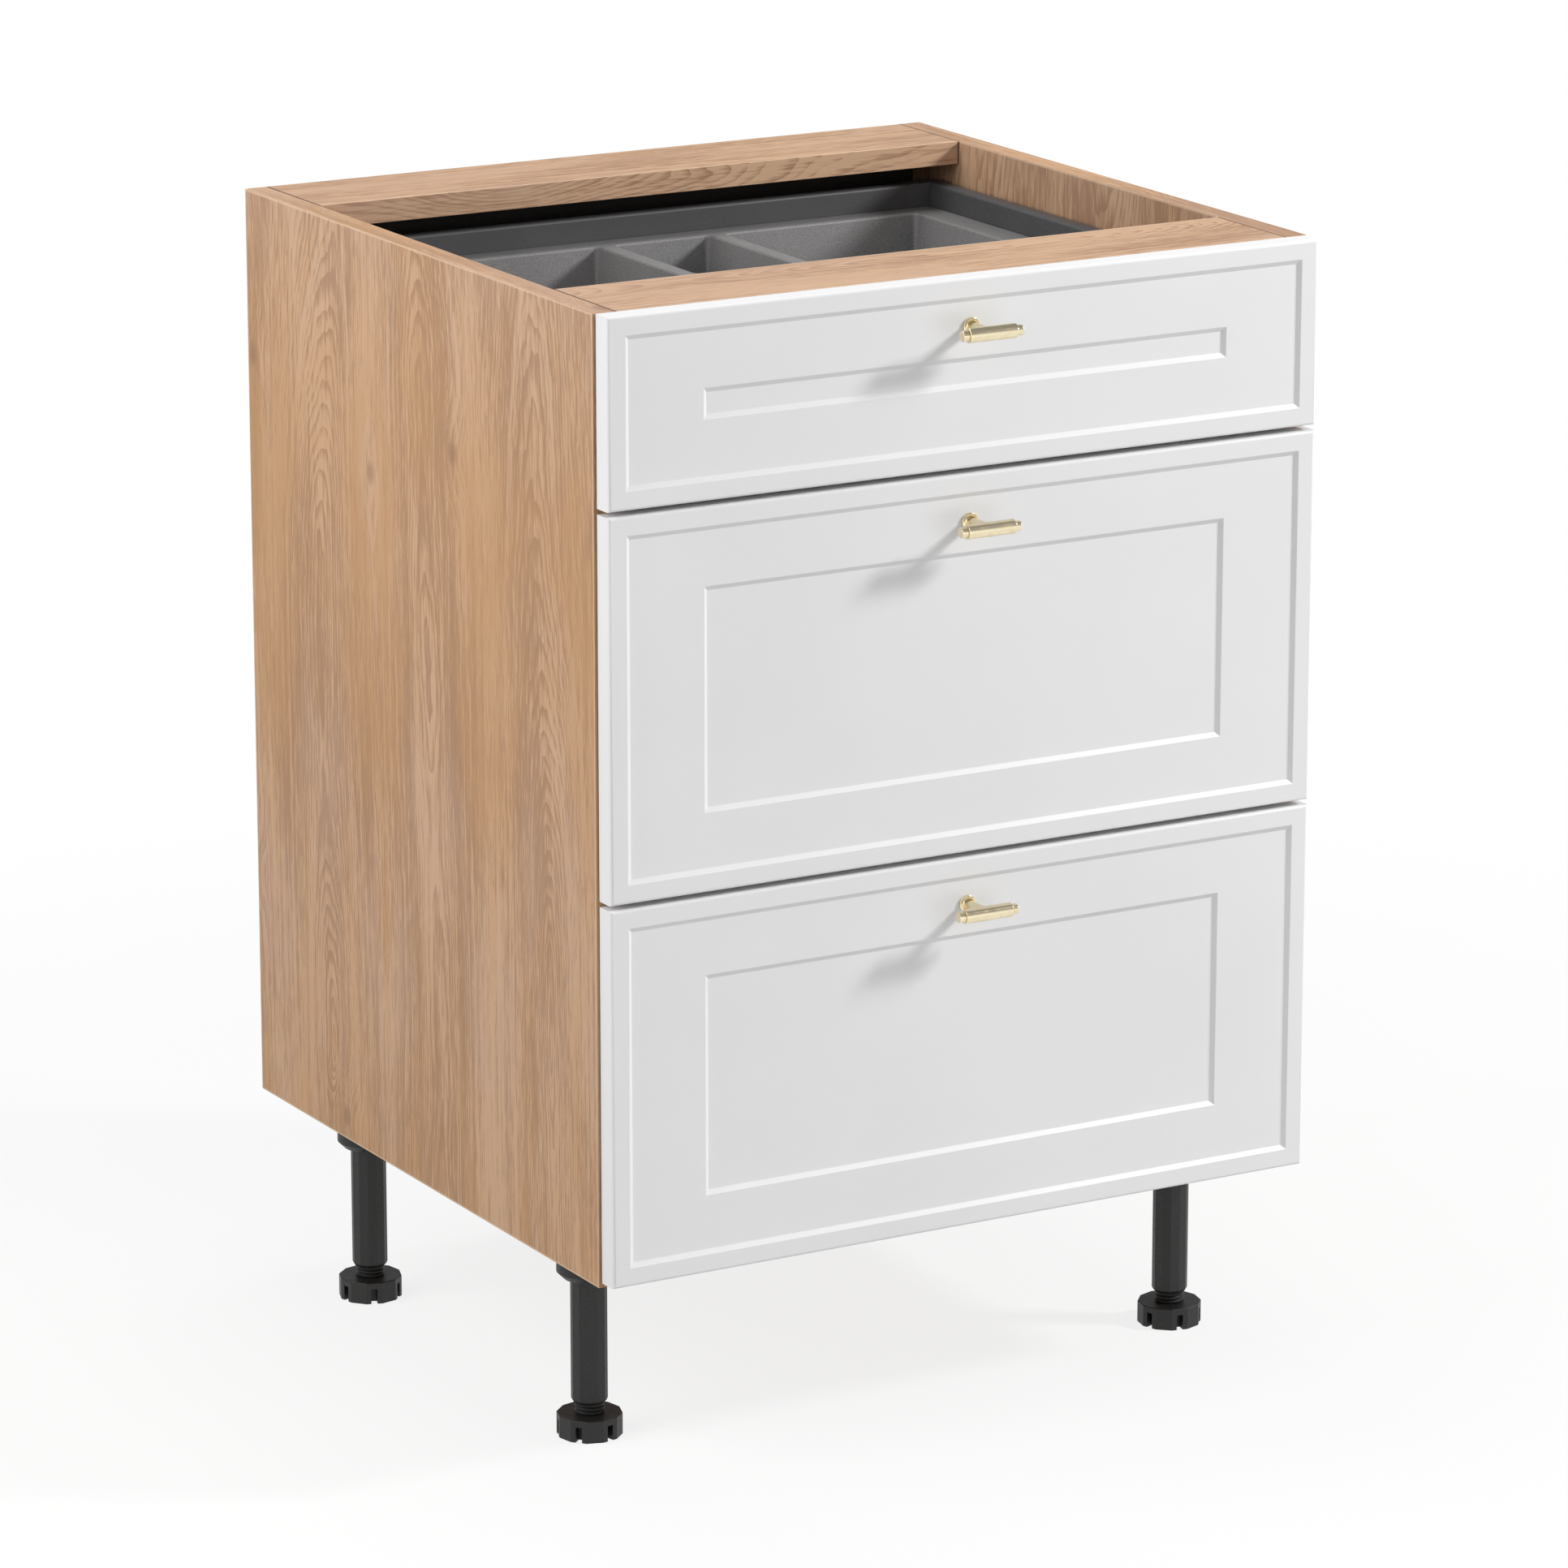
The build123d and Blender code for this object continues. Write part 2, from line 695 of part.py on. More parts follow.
def rail_pair(drawer, start, length, strips):
    """A rail of rectangular strips and its mirror image; u is inward from the carcass, v is up."""
    with BuildPart() as rails:
        with BuildSketch(upright(inner_half, start, drawer.runner_base)):
            for u, v, width, height in strips:
                with Locations((-u, v)):
                    Rectangle(width, height, align=(Align.MAX, Align.MIN))
        extrude(amount=-length)
        mirror(about=Plane.YZ)
    return rails


def cabinet_rails(drawer):
    """The fixed rails: a wall plate with a lipped channel along its foot."""
    lip_z = channel_height - runner_sheet
    strips = [
        (0, 0, runner_sheet, wall_plate_height),
        (0, 0, channel_width, runner_sheet),
        (channel_width - runner_sheet, 0, runner_sheet, channel_height),
        (0, lip_z, runner_sheet + channel_lip, runner_sheet),
        (channel_width - runner_sheet - channel_lip, lip_z, runner_sheet + channel_lip, runner_sheet),
    ]
    rails = rail_pair(drawer, runner_front, runner_length, strips)
    with BuildPart() as drilled:
        add(rails.part)
        for side in (-1, 1):
            with Locations(*runner_screw_places(side, [drawer])):
                Cone(
                    runner_screw_head / 2 + hole_play,
                    runner_screw_diameter / 2 + hole_play,
                    runner_sheet,
                    rotation=(0, side * 90, 0),
                    align=(Align.CENTER, Align.CENTER, Align.MAX),
                    mode=Mode.SUBTRACT,
                )
    return drilled


def runner_screws():
    """Countersunk screws that hold the cabinet rails to the carcass sides."""
    with BuildPart() as screws:
        for side in (-1, 1):
            with Locations(*runner_screw_places(side)):
                Cone(
                    runner_screw_head / 2,
                    runner_screw_diameter / 2,
                    runner_sheet,
                    rotation=(0, side * 90, 0),
                    align=(Align.CENTER, Align.CENTER, Align.MAX),
                )
                Cylinder(
                    runner_screw_diameter / 2,
                    runner_screw_length,
                    rotation=(0, side * 90, 0),
                    align=(Align.CENTER, Align.CENTER, Align.MIN),
                )
    return screws


def mid_rails(drawer):
    """The travelling rails: an I section, its foot in the channel and its head in the drawer rail."""
    foot_width = channel_width - 2 * runner_sheet - 2 * run_gap
    middle = channel_width / 2
    foot_z = runner_sheet + run_gap
    web_z = foot_z + mid_flange
    strips = [
        (runner_sheet + run_gap, foot_z, foot_width, mid_flange),
        (middle - mid_web / 2, web_z, mid_web, mid_web_height),
        (middle - mid_top_width / 2, web_z + mid_web_height, mid_top_width, mid_flange),
    ]
    return rail_pair(drawer, runner_front, runner_length, strips)


def drawer_rails(drawer):
    """The drawer's rails: a lipped cap over the middle rail, with a shelf under side and floor."""
    left = channel_width / 2 - mid_top_width / 2 - run_gap - runner_sheet
    right = channel_width / 2 + mid_top_width / 2 + run_gap
    lip_z = runner_height - channel_height
    strips = [
        (side_gap, runner_height - runner_sheet, cap_shelf - side_gap, runner_sheet),
        (left, lip_z, runner_sheet, channel_height),
        (right, lip_z, runner_sheet, channel_height),
        (left, lip_z, runner_sheet + cap_lip, runner_sheet),
        (right - cap_lip, lip_z, runner_sheet + cap_lip, runner_sheet),
    ]
    return rail_pair(drawer, runner_front, runner_length, strips)


def tray_compartments():
    """Low and high corners of the tray's compartments, at their rims."""
    left = tray_flange_side + tray_play - side_inner
    right = -left
    front = front_rear + tray_play + tray_flange_end
    rear = drawer_back - tray_play - tray_flange_end
    wide = right - tray_right_width
    middle = wide - tray_divider - tray_middle_width
    far_left = middle - tray_divider
    split = (left + far_left - tray_divider) / 2
    rear_row = rear - tray_rear_length
    front_row = rear_row - tray_divider
    return [
        ((wide, front), (right, rear)),
        ((middle, rear_row), (wide - tray_divider, rear)),
        ((left, rear_row), (far_left, rear)),
        ((middle, front), (wide - tray_divider, front_row)),
        ((split + tray_divider, front), (far_left, front_row)),
        ((left, front), (split, front_row)),
    ]


def cutlery_tray(drawer):
    """A thin moulded tray: a flange with tapered wells that stand on the drawer's floor."""
    base = drawer.runner_base + runner_height + sheet + floor_thickness
    rim_z = base + tray_height
    width = 2 * (side_inner - tray_play)
    length = drawer_length - 2 * tray_play
    wells = [
        ((a + c) / 2, (b + d) / 2, c - a, d - b) for (a, b), (c, d) in tray_compartments()
    ]
    with BuildPart() as tray:
        with BuildSketch(Plane((0, front_rear + drawer_length / 2, rim_z))):
            RectangleRounded(width, length, tray_corner)
        extrude(amount=-tray_wall)
        for x, y, across, along in wells:
            with BuildSketch(Plane((x, y, rim_z))):
                RectangleRounded(across + 2 * tray_wall, along + 2 * tray_wall, tray_corner + tray_wall)
            with BuildSketch(Plane((x, y, base))):
                RectangleRounded(
                    across + 2 * tray_wall - 2 * tray_draft,
                    along + 2 * tray_wall - 2 * tray_draft,
                    tray_corner + tray_wall,
                )
            loft()
        for x, y, across, along in wells:
            with BuildSketch(Plane((x, y, rim_z))):
                RectangleRounded(across, along, tray_corner)
            with BuildSketch(Plane((x, y, base + tray_wall))):
                RectangleRounded(across - 2 * tray_draft, along - 2 * tray_draft, tray_corner)
            loft(mode=Mode.SUBTRACT)
        flange = tray.faces().filter_by(Axis.Z).sort_by(Axis.Z)[-1]
        rims = ShapeList([edge for wire in flange.inner_wires() for edge in wire.edges()])
        fillet(rims, radius=tray_rim)
    return tray


os.makedirs("parts", exist_ok=True)

keep(side_panel(-1), "side_panel_left")
keep(side_panel(1), "side_panel_right")
for name in cross_boards:
    keep(cross_board(name), name)
keep(back_panel(), "back_panel")
keep(carcass_dowels(), "carcass_dowels")
keep(cam_locks(), "cam_locks")
keep(cam_bolts(), "cam_bolts")

keep(leg_sockets(), "leg_sockets")
keep(leg_screws(), "leg_screws")
for place in leg_places:
    keep(leg_tube(place), f"leg_tube_{place}")
    keep(foot(place), f"foot_{place}")

keep(runner_screws(), "runner_screws")
for drawer in drawers:
    keep(cabinet_rails(drawer), f"{drawer.name}_cabinet_rails")
    keep(mid_rails(drawer), f"{drawer.name}_mid_rails")
    keep(drawer_rails(drawer), f"{drawer.name}_drawer_rails")
    keep(drawer_front(drawer), f"{drawer.name}_front")
    keep(knob_bar(drawer), f"{drawer.name}_knob_bar")
    keep(knob_post(drawer), f"{drawer.name}_knob_post")
    keep(knob_screw(drawer), f"{drawer.name}_knob_screw")
    keep(drawer_side(drawer, -1), f"{drawer.name}_side_left")
    keep(drawer_side(drawer, 1), f"{drawer.name}_side_right")
    keep(drawer_floor(drawer), f"{drawer.name}_bottom")
    keep(drawer_rear(drawer), f"{drawer.name}_back")
    keep(rear_brackets(drawer), f"{drawer.name}_rear_brackets")
    keep(front_brackets(drawer), f"{drawer.name}_front_brackets")
keep(cutlery_tray(drawers[0]), "cutlery_tray")
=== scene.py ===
import math

import bmesh
import bpy
from bpy.props import FloatProperty, FloatVectorProperty, PointerProperty
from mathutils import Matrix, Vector


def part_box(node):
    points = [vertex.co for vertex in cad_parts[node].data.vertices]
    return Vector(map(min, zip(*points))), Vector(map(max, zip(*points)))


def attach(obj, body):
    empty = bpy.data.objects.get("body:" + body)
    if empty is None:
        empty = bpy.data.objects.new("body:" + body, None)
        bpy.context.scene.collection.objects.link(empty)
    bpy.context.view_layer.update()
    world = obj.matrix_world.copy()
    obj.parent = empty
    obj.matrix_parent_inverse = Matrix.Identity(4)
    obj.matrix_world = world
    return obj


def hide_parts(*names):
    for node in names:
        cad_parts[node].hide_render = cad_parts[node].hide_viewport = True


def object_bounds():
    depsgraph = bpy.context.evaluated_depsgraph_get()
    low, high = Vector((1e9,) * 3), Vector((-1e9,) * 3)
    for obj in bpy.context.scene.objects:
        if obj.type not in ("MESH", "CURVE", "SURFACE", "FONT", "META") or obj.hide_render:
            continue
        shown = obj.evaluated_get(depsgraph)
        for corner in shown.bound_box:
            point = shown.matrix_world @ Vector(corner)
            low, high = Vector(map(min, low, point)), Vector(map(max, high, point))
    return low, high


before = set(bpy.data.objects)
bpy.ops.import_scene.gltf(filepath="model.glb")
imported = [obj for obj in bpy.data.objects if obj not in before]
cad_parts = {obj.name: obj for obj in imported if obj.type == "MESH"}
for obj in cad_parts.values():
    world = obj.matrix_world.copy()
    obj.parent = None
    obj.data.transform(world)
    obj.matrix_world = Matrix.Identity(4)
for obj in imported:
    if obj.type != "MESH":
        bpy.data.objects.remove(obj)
cad_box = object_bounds()

bl_info = {
    "name": "Drawer base cabinet finishes",
    "version": (1, 0, 0),
    "blender": (4, 5, 0),
    "location": "View3D > Sidebar > Cabinet",
    "description": "Finishes and rebuilt visible pieces for a three-drawer kitchen base cabinet",
    "category": "Object",
}

MM = 0.001
DRAWERS = ("top", "middle", "bottom")
LEG_PLACES = ("front_left", "front_right", "rear_left", "rear_right")
X, Y, Z = 0, 1, 2

# Where a Mix node takes its two colours or its two numbers, and where it gives a mixed colour
COLOUR_A, COLOUR_B, MIXED = 6, 7, 2
NUMBER_A, NUMBER_B = 2, 3


def linear(code):
    """Turn an sRGB hex colour into linear RGB."""
    channels = [int(code[i : i + 2], 16) / 255 for i in (0, 2, 4)]
    return tuple(c / 12.92 if c <= 0.04045 else ((c + 0.055) / 1.055) ** 2.4 for c in channels)


def colour_prop(name, description, code):
    """A colour that a user may change, given as an sRGB hex value."""
    return FloatVectorProperty(
        name=name, description=description, subtype="COLOR", size=3, min=0.0, max=1.0, default=linear(code)
    )


def length_prop(name, description, millimetres):
    """A length that a user may change, given in millimetres and kept in metres."""
    return FloatProperty(
        name=name, description=description, subtype="DISTANCE", unit="LENGTH", min=0.0, precision=4,
        default=millimetres * MM,
    )


def power_prop(name, description, watts):
    """A lamp's power that a user may change."""
    return FloatProperty(
        name=name, description=description, subtype="POWER", unit="POWER", min=0.0, default=watts
    )


def angle_prop(name, description, degrees):
    """An angle that a user may change, given in degrees."""
    return FloatProperty(
        name=name, description=description, subtype="ANGLE", unit="ROTATION", default=math.radians(degrees)
    )


class CabinetBoards(bpy.types.PropertyGroup):
    """Print and edging of the carcass boards, and the colour of the back."""

    pale: colour_prop("Pale grain", "Lightest tone of the oak print", "CDA888")
    middle: colour_prop("Middle grain", "Main tone of the oak print", "B89272")
    dark: colour_prop("Dark grain", "Darkest tone of the oak print", "9F7A5D")
    rich: colour_prop("Rich streaks", "Broad streaks of a deeper yellow brown", "BE8F5F")
    grey: colour_prop("Grey streaks", "Broad streaks that lean to grey", "C4A187")
    knot: colour_prop("Knots", "Heart of the small knots in the print", "84604A")
    line: colour_prop("Edging line", "Pale line where an edging strip meets the face", "E2C7AA")
    ring: length_prop("Ring width", "Width of one growth ring in the print", 3.0)
    arch: length_prop("Arch spacing", "Across the grain, from one column of arches to the next", 178.0)
    fibre: length_prop("Fibre width", "Width of the finest streaks in the print", 1.6)
    border: length_prop("Edging width", "Width of the line where an edging strip meets the face", 1.3)
    joint: colour_prop("Joint", "Shade in the joint where a board's end meets a side", "4A3020")
    gap: length_prop("Joint width", "Width of the shade where a board's end meets a side", 1.2)
    back: colour_prop("Back panel", "Painted hardboard of the back", "2C2B2A")


class CabinetFronts(bpy.types.PropertyGroup):
    """Lacquer and routed steps of the drawer fronts."""

    lacquer: colour_prop("Lacquer", "White satin lacquer", "F1F1F2")
    edge_radius: length_prop("Edge radius", "Rounding round the outside of a front", 2.5)
    rear_arris: length_prop("Rear arris", "Easing of a front's rear edges", 0.5)
    border: length_prop("Border", "From a front's edge to its outer step", 14.0)
    field_x: length_prop("Side frame", "From a front's left or right edge to its inner step", 78.0)
    field_z: length_prop("Rail frame", "From a front's top or bottom edge to its inner step", 58.5)
    step_depth: length_prop("Step depth", "How far each step goes in", 2.5)
    step_run: length_prop("Step run", "Width of each step's slope", 3.6)
    step_radius: length_prop("Step rounding", "Lacquer's rounding along the steps", 0.9)


class CabinetKnobs(bpy.types.PropertyGroup):
    """Turned brass bar knobs."""

    brass: colour_prop("Brass", "Polished pale brass", "EDE0C0")
    tip_radius: length_prop("Tip radius", "Radius of the slimmer tips of a bar", 4.0)
    tip_length: length_prop("Tip length", "Length of a tip", 5.0)
    edge: length_prop("Edge", "Rounding of the turned edges", 0.6)
    post_radius: length_prop("Post radius", "Radius of the post behind the bar", 3.75)
    rosette: length_prop("Rosette", "Thickness of the disc on the front", 2.0)
    flare: length_prop("Flare", "Length of the cone from disc to post", 3.0)


class CabinetDrawers(bpy.types.PropertyGroup):
    """Steel boxes, their brackets and bottoms, runners and hidden fittings."""

    steel: colour_prop("Box steel", "Dark grey powder coat", "525254")
    bracket: colour_prop("Brackets", "Dark grey moulded plastic", "565658")
    board: colour_prop("Bottom board", "Dark grey melamine", "6B6B6D")
    zinc: colour_prop("Zinc", "Plated runners and screws", "C9CCD0")
    casting: colour_prop("Casting", "Die-cast cams", "B9BABC")
    beech: colour_prop("Beech", "Turned dowels", "D9BE95")


class CabinetTray(bpy.types.PropertyGroup):
    """Moulded cutlery tray."""

    plastic: colour_prop("Tray plastic", "Dark grey grained plastic", "848383")
    wall: length_prop("Wall", "Thickness of the moulding", 2.0)
    rim: length_prop("Rim", "Rounding of the compartment rims", 2.0)
    corner: length_prop("Corner", "Rounding of the compartment corners", 4.5)
    floor_fillet: length_prop("Floor fillet", "Rounding between walls and floor", 5.0)
    draft: length_prop("Draft", "How much narrower a compartment is at its floor, on each side", 4.0)
    flange_side: length_prop("Side flange", "Flat rim along the drawer's sides", 24.0)
    flange_end: length_prop("End flange", "Flat rim at the front and back", 20.0)
    divider: length_prop("Divider", "Between two compartments", 14.0)
    right_width: length_prop("Right compartment", "Width of the long right compartment", 174.0)
    middle_width: length_prop("Middle compartments", "Width of the two middle compartments", 84.0)
    rear_length: length_prop("Rear row", "Front to back size of the rear row", 133.0)
    outer_corner: length_prop("Outer corner", "Rounding of the tray's own corners", 5.0)


class CabinetLegs(bpy.types.PropertyGroup):
    """Moulded levelling legs."""

    plastic: colour_prop("Leg plastic", "Charcoal black plastic", "181716")
    grit: length_prop("Grit", "Grain of the mould's texture", 1.8)


class CabinetStage(bpy.types.PropertyGroup):
    """Floor, lamps and camera."""

    floor: colour_prop("Floor", "Plain pale floor", "F2F2F2")
    bounce: colour_prop("Floor's bounce", "Tone of the floor for the light that it sends back", "BCBCBC")
    overhead: colour_prop("Overhead", "Tone of the studio above, as metal reflects it", "9A9A9C")
    sky: FloatProperty(name="Surround", description="Strength of the even light", default=0.3, min=0.0)
    key: power_prop("Right lamp", "Power of the lamp on the right", 77.0)
    side: power_prop("Left lamp", "Power of the lamp on the left", 21.2)
    front: power_prop("Front lamp", "Power of the lamp before the fronts", 10.0)
    top: power_prop("Top lamp", "Power of the lamp overhead", 14.6)
    lens: FloatProperty(
        name="Lens", description="Focal length of the camera", subtype="DISTANCE_CAMERA", default=167.7
    )
    azimuth: angle_prop("Azimuth", "Camera's turn round the cabinet", -29.74)
    elevation: angle_prop("Elevation", "Camera's height above the horizon", 15.0)
    place: FloatVectorProperty(
        name="Camera place",
        description="Where the camera stands",
        subtype="TRANSLATION",
        unit="LENGTH",
        size=3,
        default=(-2.6766, -4.6853, 1.8758),
    )


SETTINGS = {
    "cabinet_boards": CabinetBoards,
    "cabinet_fronts": CabinetFronts,
    "cabinet_knobs": CabinetKnobs,
    "cabinet_drawers": CabinetDrawers,
    "cabinet_tray": CabinetTray,
    "cabinet_legs": CabinetLegs,
    "cabinet_stage": CabinetStage,
}


def add(tree, kind, inputs=None, ramp=(), **settings):
    """Add a node with its settings, colour stops and inputs, each a value, a node or a node's socket.

    A range is mapped from inputs 1 and 2 to inputs 3 and 4.
    """
    node = tree.nodes.new("ShaderNode" + kind)
    for name, value in settings.items():
        setattr(node, name, value)
    for i, (place, tone) in enumerate(ramp):
        stops = node.color_ramp.elements
        stop = stops[i] if i < 2 else stops.new(place)
        stop.position = place
        stop.color = rgba(tone)
    for name, value in (inputs or {}).items():
        if isinstance(value, bpy.types.Node):
            value = value.outputs[0]
        if isinstance(value, bpy.types.NodeSocket):
            tree.links.new(value, node.inputs[name])
        else:
            node.inputs[name].default_value = value
    return node


def new_material(name):
    """An empty node material and its tree."""
    material = bpy.data.materials.new(name)
    material.use_nodes = True
    material.node_tree.nodes.clear()
    return material, material.node_tree


def rgba(tone):
    """A colour with full opacity, as node sockets take it."""
    return (*tone, 1.0)


def shaded(tone, *factors):
    """A colour with its channels scaled, by one factor or by one for each channel."""
    return tuple(c * f for c, f in zip(tone, factors * (3 // len(factors))))


def scale_for(size):
    """Scale of a pattern whose features are this many millimetres wide."""
    return 1 / (size * MM)


def scales_for(*sizes):
    """Scale of a pattern along each axis, from the sizes of its features in millimetres."""
    return tuple(scale_for(size) for size in sizes)


# Sizes in the oak print in millimetres: across the grain, along it and through the board
WANDER_SIZE = (303.0, 800.0, 500.0)
WOBBLE_SIZE = (20.0, 71.43, 100.0)
STREAK_SIZE = (4.0, 400.0, 4.0)
CLOUD_SIZE = (62.5, 303.0, 100.0)
TINT_SIZE = (71.43, 400.0)
KNOT_CELL = (200.0, 300.0)
FIBRE_LENGTH = 20.0

# Growth rings: how steeply the board cuts them, how deep their heart lies, and how far things stray
RING_SLANT = 0.09
HEART_DEPTH = 65 * MM
HEART_STRAY = 120 * MM
GRAIN_SWAY = 30 * MM
RING_WOBBLE = 6 * MM
KNOT_PUSH = 16 * MM
ARCH_CORE = 12 * MM
ARCH_EDGE = 60 * MM

# Knots: the share of cells without one, radii as shares of a cell, and the strength of the dark heart
KNOT_FREE = 0.45
KNOT_SWELL = (0.0, 0.2)
KNOT_HEART = (0.01, 0.045)
KNOT_SHADE = 0.5

# What each feature adds to the print's tone, and where on that tone the grain colours lie
BAND_WEIGHT = 0.35
STREAK_WEIGHT = 0.5
FIBRE_WEIGHT = 0.65
CLOUD_WEIGHT = 0.6
TONE_LEVEL = -0.305
DARK_TONE, MIDDLE_TONE, PALE_TONE = 0.635, 0.745, 0.855

# A face counts as square to an axis where its normal has more than this along it
SQUARE = 0.6
# Strength of the lines at a board's edges, and how far past its width each fades
LINE_STRENGTH, LINE_FADE = 0.55, 1.3
JOINT_STRENGTH, JOINT_FADE = 0.85, 1.4


def board_place(t, along, across, through):
    """A point's plain place, its places across and along the grain and in the print, and 1 on edges.

    The grain's places are in metres, and are turned to follow the strips on a board's edges.
    """
    place = add(t, "SeparateXYZ", {0: add(t, "TexCoord").outputs["Object"]})
    turn = add(t, "VectorMath", {0: add(t, "NewGeometry").outputs["Normal"]}, operation="ABSOLUTE")
    facing = add(t, "SeparateXYZ", {0: turn})
    on_edge = add(t, "Math", {0: facing.outputs[through], 1: SQUARE}, operation="LESS_THAN")
    on_end = add(t, "Math", {0: facing.outputs[along], 1: SQUARE}, operation="GREATER_THAN")
    lengthwise, crosswise, inward = (place.outputs[axis] for axis in (along, across, through))
    run = add(t, "Mix", {0: on_end, NUMBER_A: lengthwise, NUMBER_B: crosswise}, data_type="FLOAT")
    side = add(t, "Mix", {0: on_edge, NUMBER_A: crosswise, NUMBER_B: inward}, data_type="FLOAT")
    flat = add(t, "CombineXYZ", {0: side, 1: run, 2: inward})
    return place, side, run, flat, on_edge


def oak_knots(t, flat):
    """How far small knots push the rings aside, and where their dark hearts are, each from 0 to 1."""
    cells = add(t, "VectorMath", {0: flat, 1: (*scales_for(*KNOT_CELL), 0.0)}, operation="MULTIPLY")
    knots = add(t, "TexVoronoi", {"Vector": cells, "Scale": 1.0, "Randomness": 0.9}, voronoi_dimensions="2D")
    # A cell holds a knot where its own number is high
    lot = add(t, "SeparateColor", {0: knots.outputs["Color"]})
    chosen = add(t, "Math", {0: lot.outputs[0], 1: KNOT_FREE}, operation="GREATER_THAN")
    spots = []
    for inner, outer in (KNOT_SWELL, KNOT_HEART):
        limits = {0: knots, 1: inner, 2: outer, 3: 1.0, 4: 0.0}
        spot = add(t, "MapRange", limits, interpolation_type="SMOOTHSTEP")
        spots.append(add(t, "Math", {0: spot, 1: chosen}, operation="MULTIPLY"))
    return spots


def oak_rings(t, look, flat, side, run, base, swell):
    """Growth rings cut at a slant, which draw narrow arches: distance from the heart, and from its column."""
    # The grain wanders slowly, by about 10 mm
    stretch = add(t, "VectorMath", {0: flat, 1: scales_for(*WANDER_SIZE)}, operation="MULTIPLY")
    wander = add(t, "TexNoise", {"Vector": stretch, "Scale": 1.0, "Detail": 3.0})
    sway = add(t, "MapRange", {0: wander, 1: 0.0, 2: 1.0, 3: -GRAIN_SWAY, 4: GRAIN_SWAY})
    swayed = add(t, "Math", {0: side, 1: sway}, operation="ADD")
    off = add(t, "Math", {0: swayed, 1: look.arch / 2}, operation="PINGPONG")
    # The heart line slants away from the board's end, and strays
    bend = add(t, "TexNoise", {"Vector": stretch, "Scale": 1.6, "Detail": 1.0})
    start = -RING_SLANT * base - HEART_DEPTH
    depth = add(t, "Math", {0: run, 1: RING_SLANT, 2: start}, operation="MULTIPLY_ADD")
    depth = add(t, "Math", {0: bend, 1: HEART_STRAY, 2: depth}, operation="MULTIPLY_ADD")
    arm = add(t, "VectorMath", {0: add(t, "CombineXYZ", {0: off, 1: depth})}, operation="LENGTH")
    # The rings are a little uneven, and swing round the knots
    uneven = add(t, "VectorMath", {0: flat, 1: scales_for(*WOBBLE_SIZE)}, operation="MULTIPLY")
    wobble = add(t, "TexNoise", {"Vector": uneven, "Scale": 1.0, "Detail": 2.0})
    ring = add(t, "Math", {0: wobble, 1: RING_WOBBLE, 2: arm.outputs["Value"]}, operation="MULTIPLY_ADD")
    ring = add(t, "Math", {0: swell, 1: KNOT_PUSH, 2: ring}, operation="MULTIPLY_ADD")
    return ring, off


def edge_distance(t, place, low, high, axes):
    """Distance from the nearest edge of a board's face along the given axes."""
    margins = []
    for axis in axes:
        margins.append(add(t, "Math", {0: place.outputs[axis], 1: low[axis]}, operation="SUBTRACT"))
        margins.append(add(t, "Math", {0: high[axis], 1: place.outputs[axis]}, operation="SUBTRACT"))
    nearest = margins[0]
    for margin in margins[1:]:
        nearest = add(t, "Math", {0: nearest, 1: margin}, operation="MINIMUM")
    return nearest


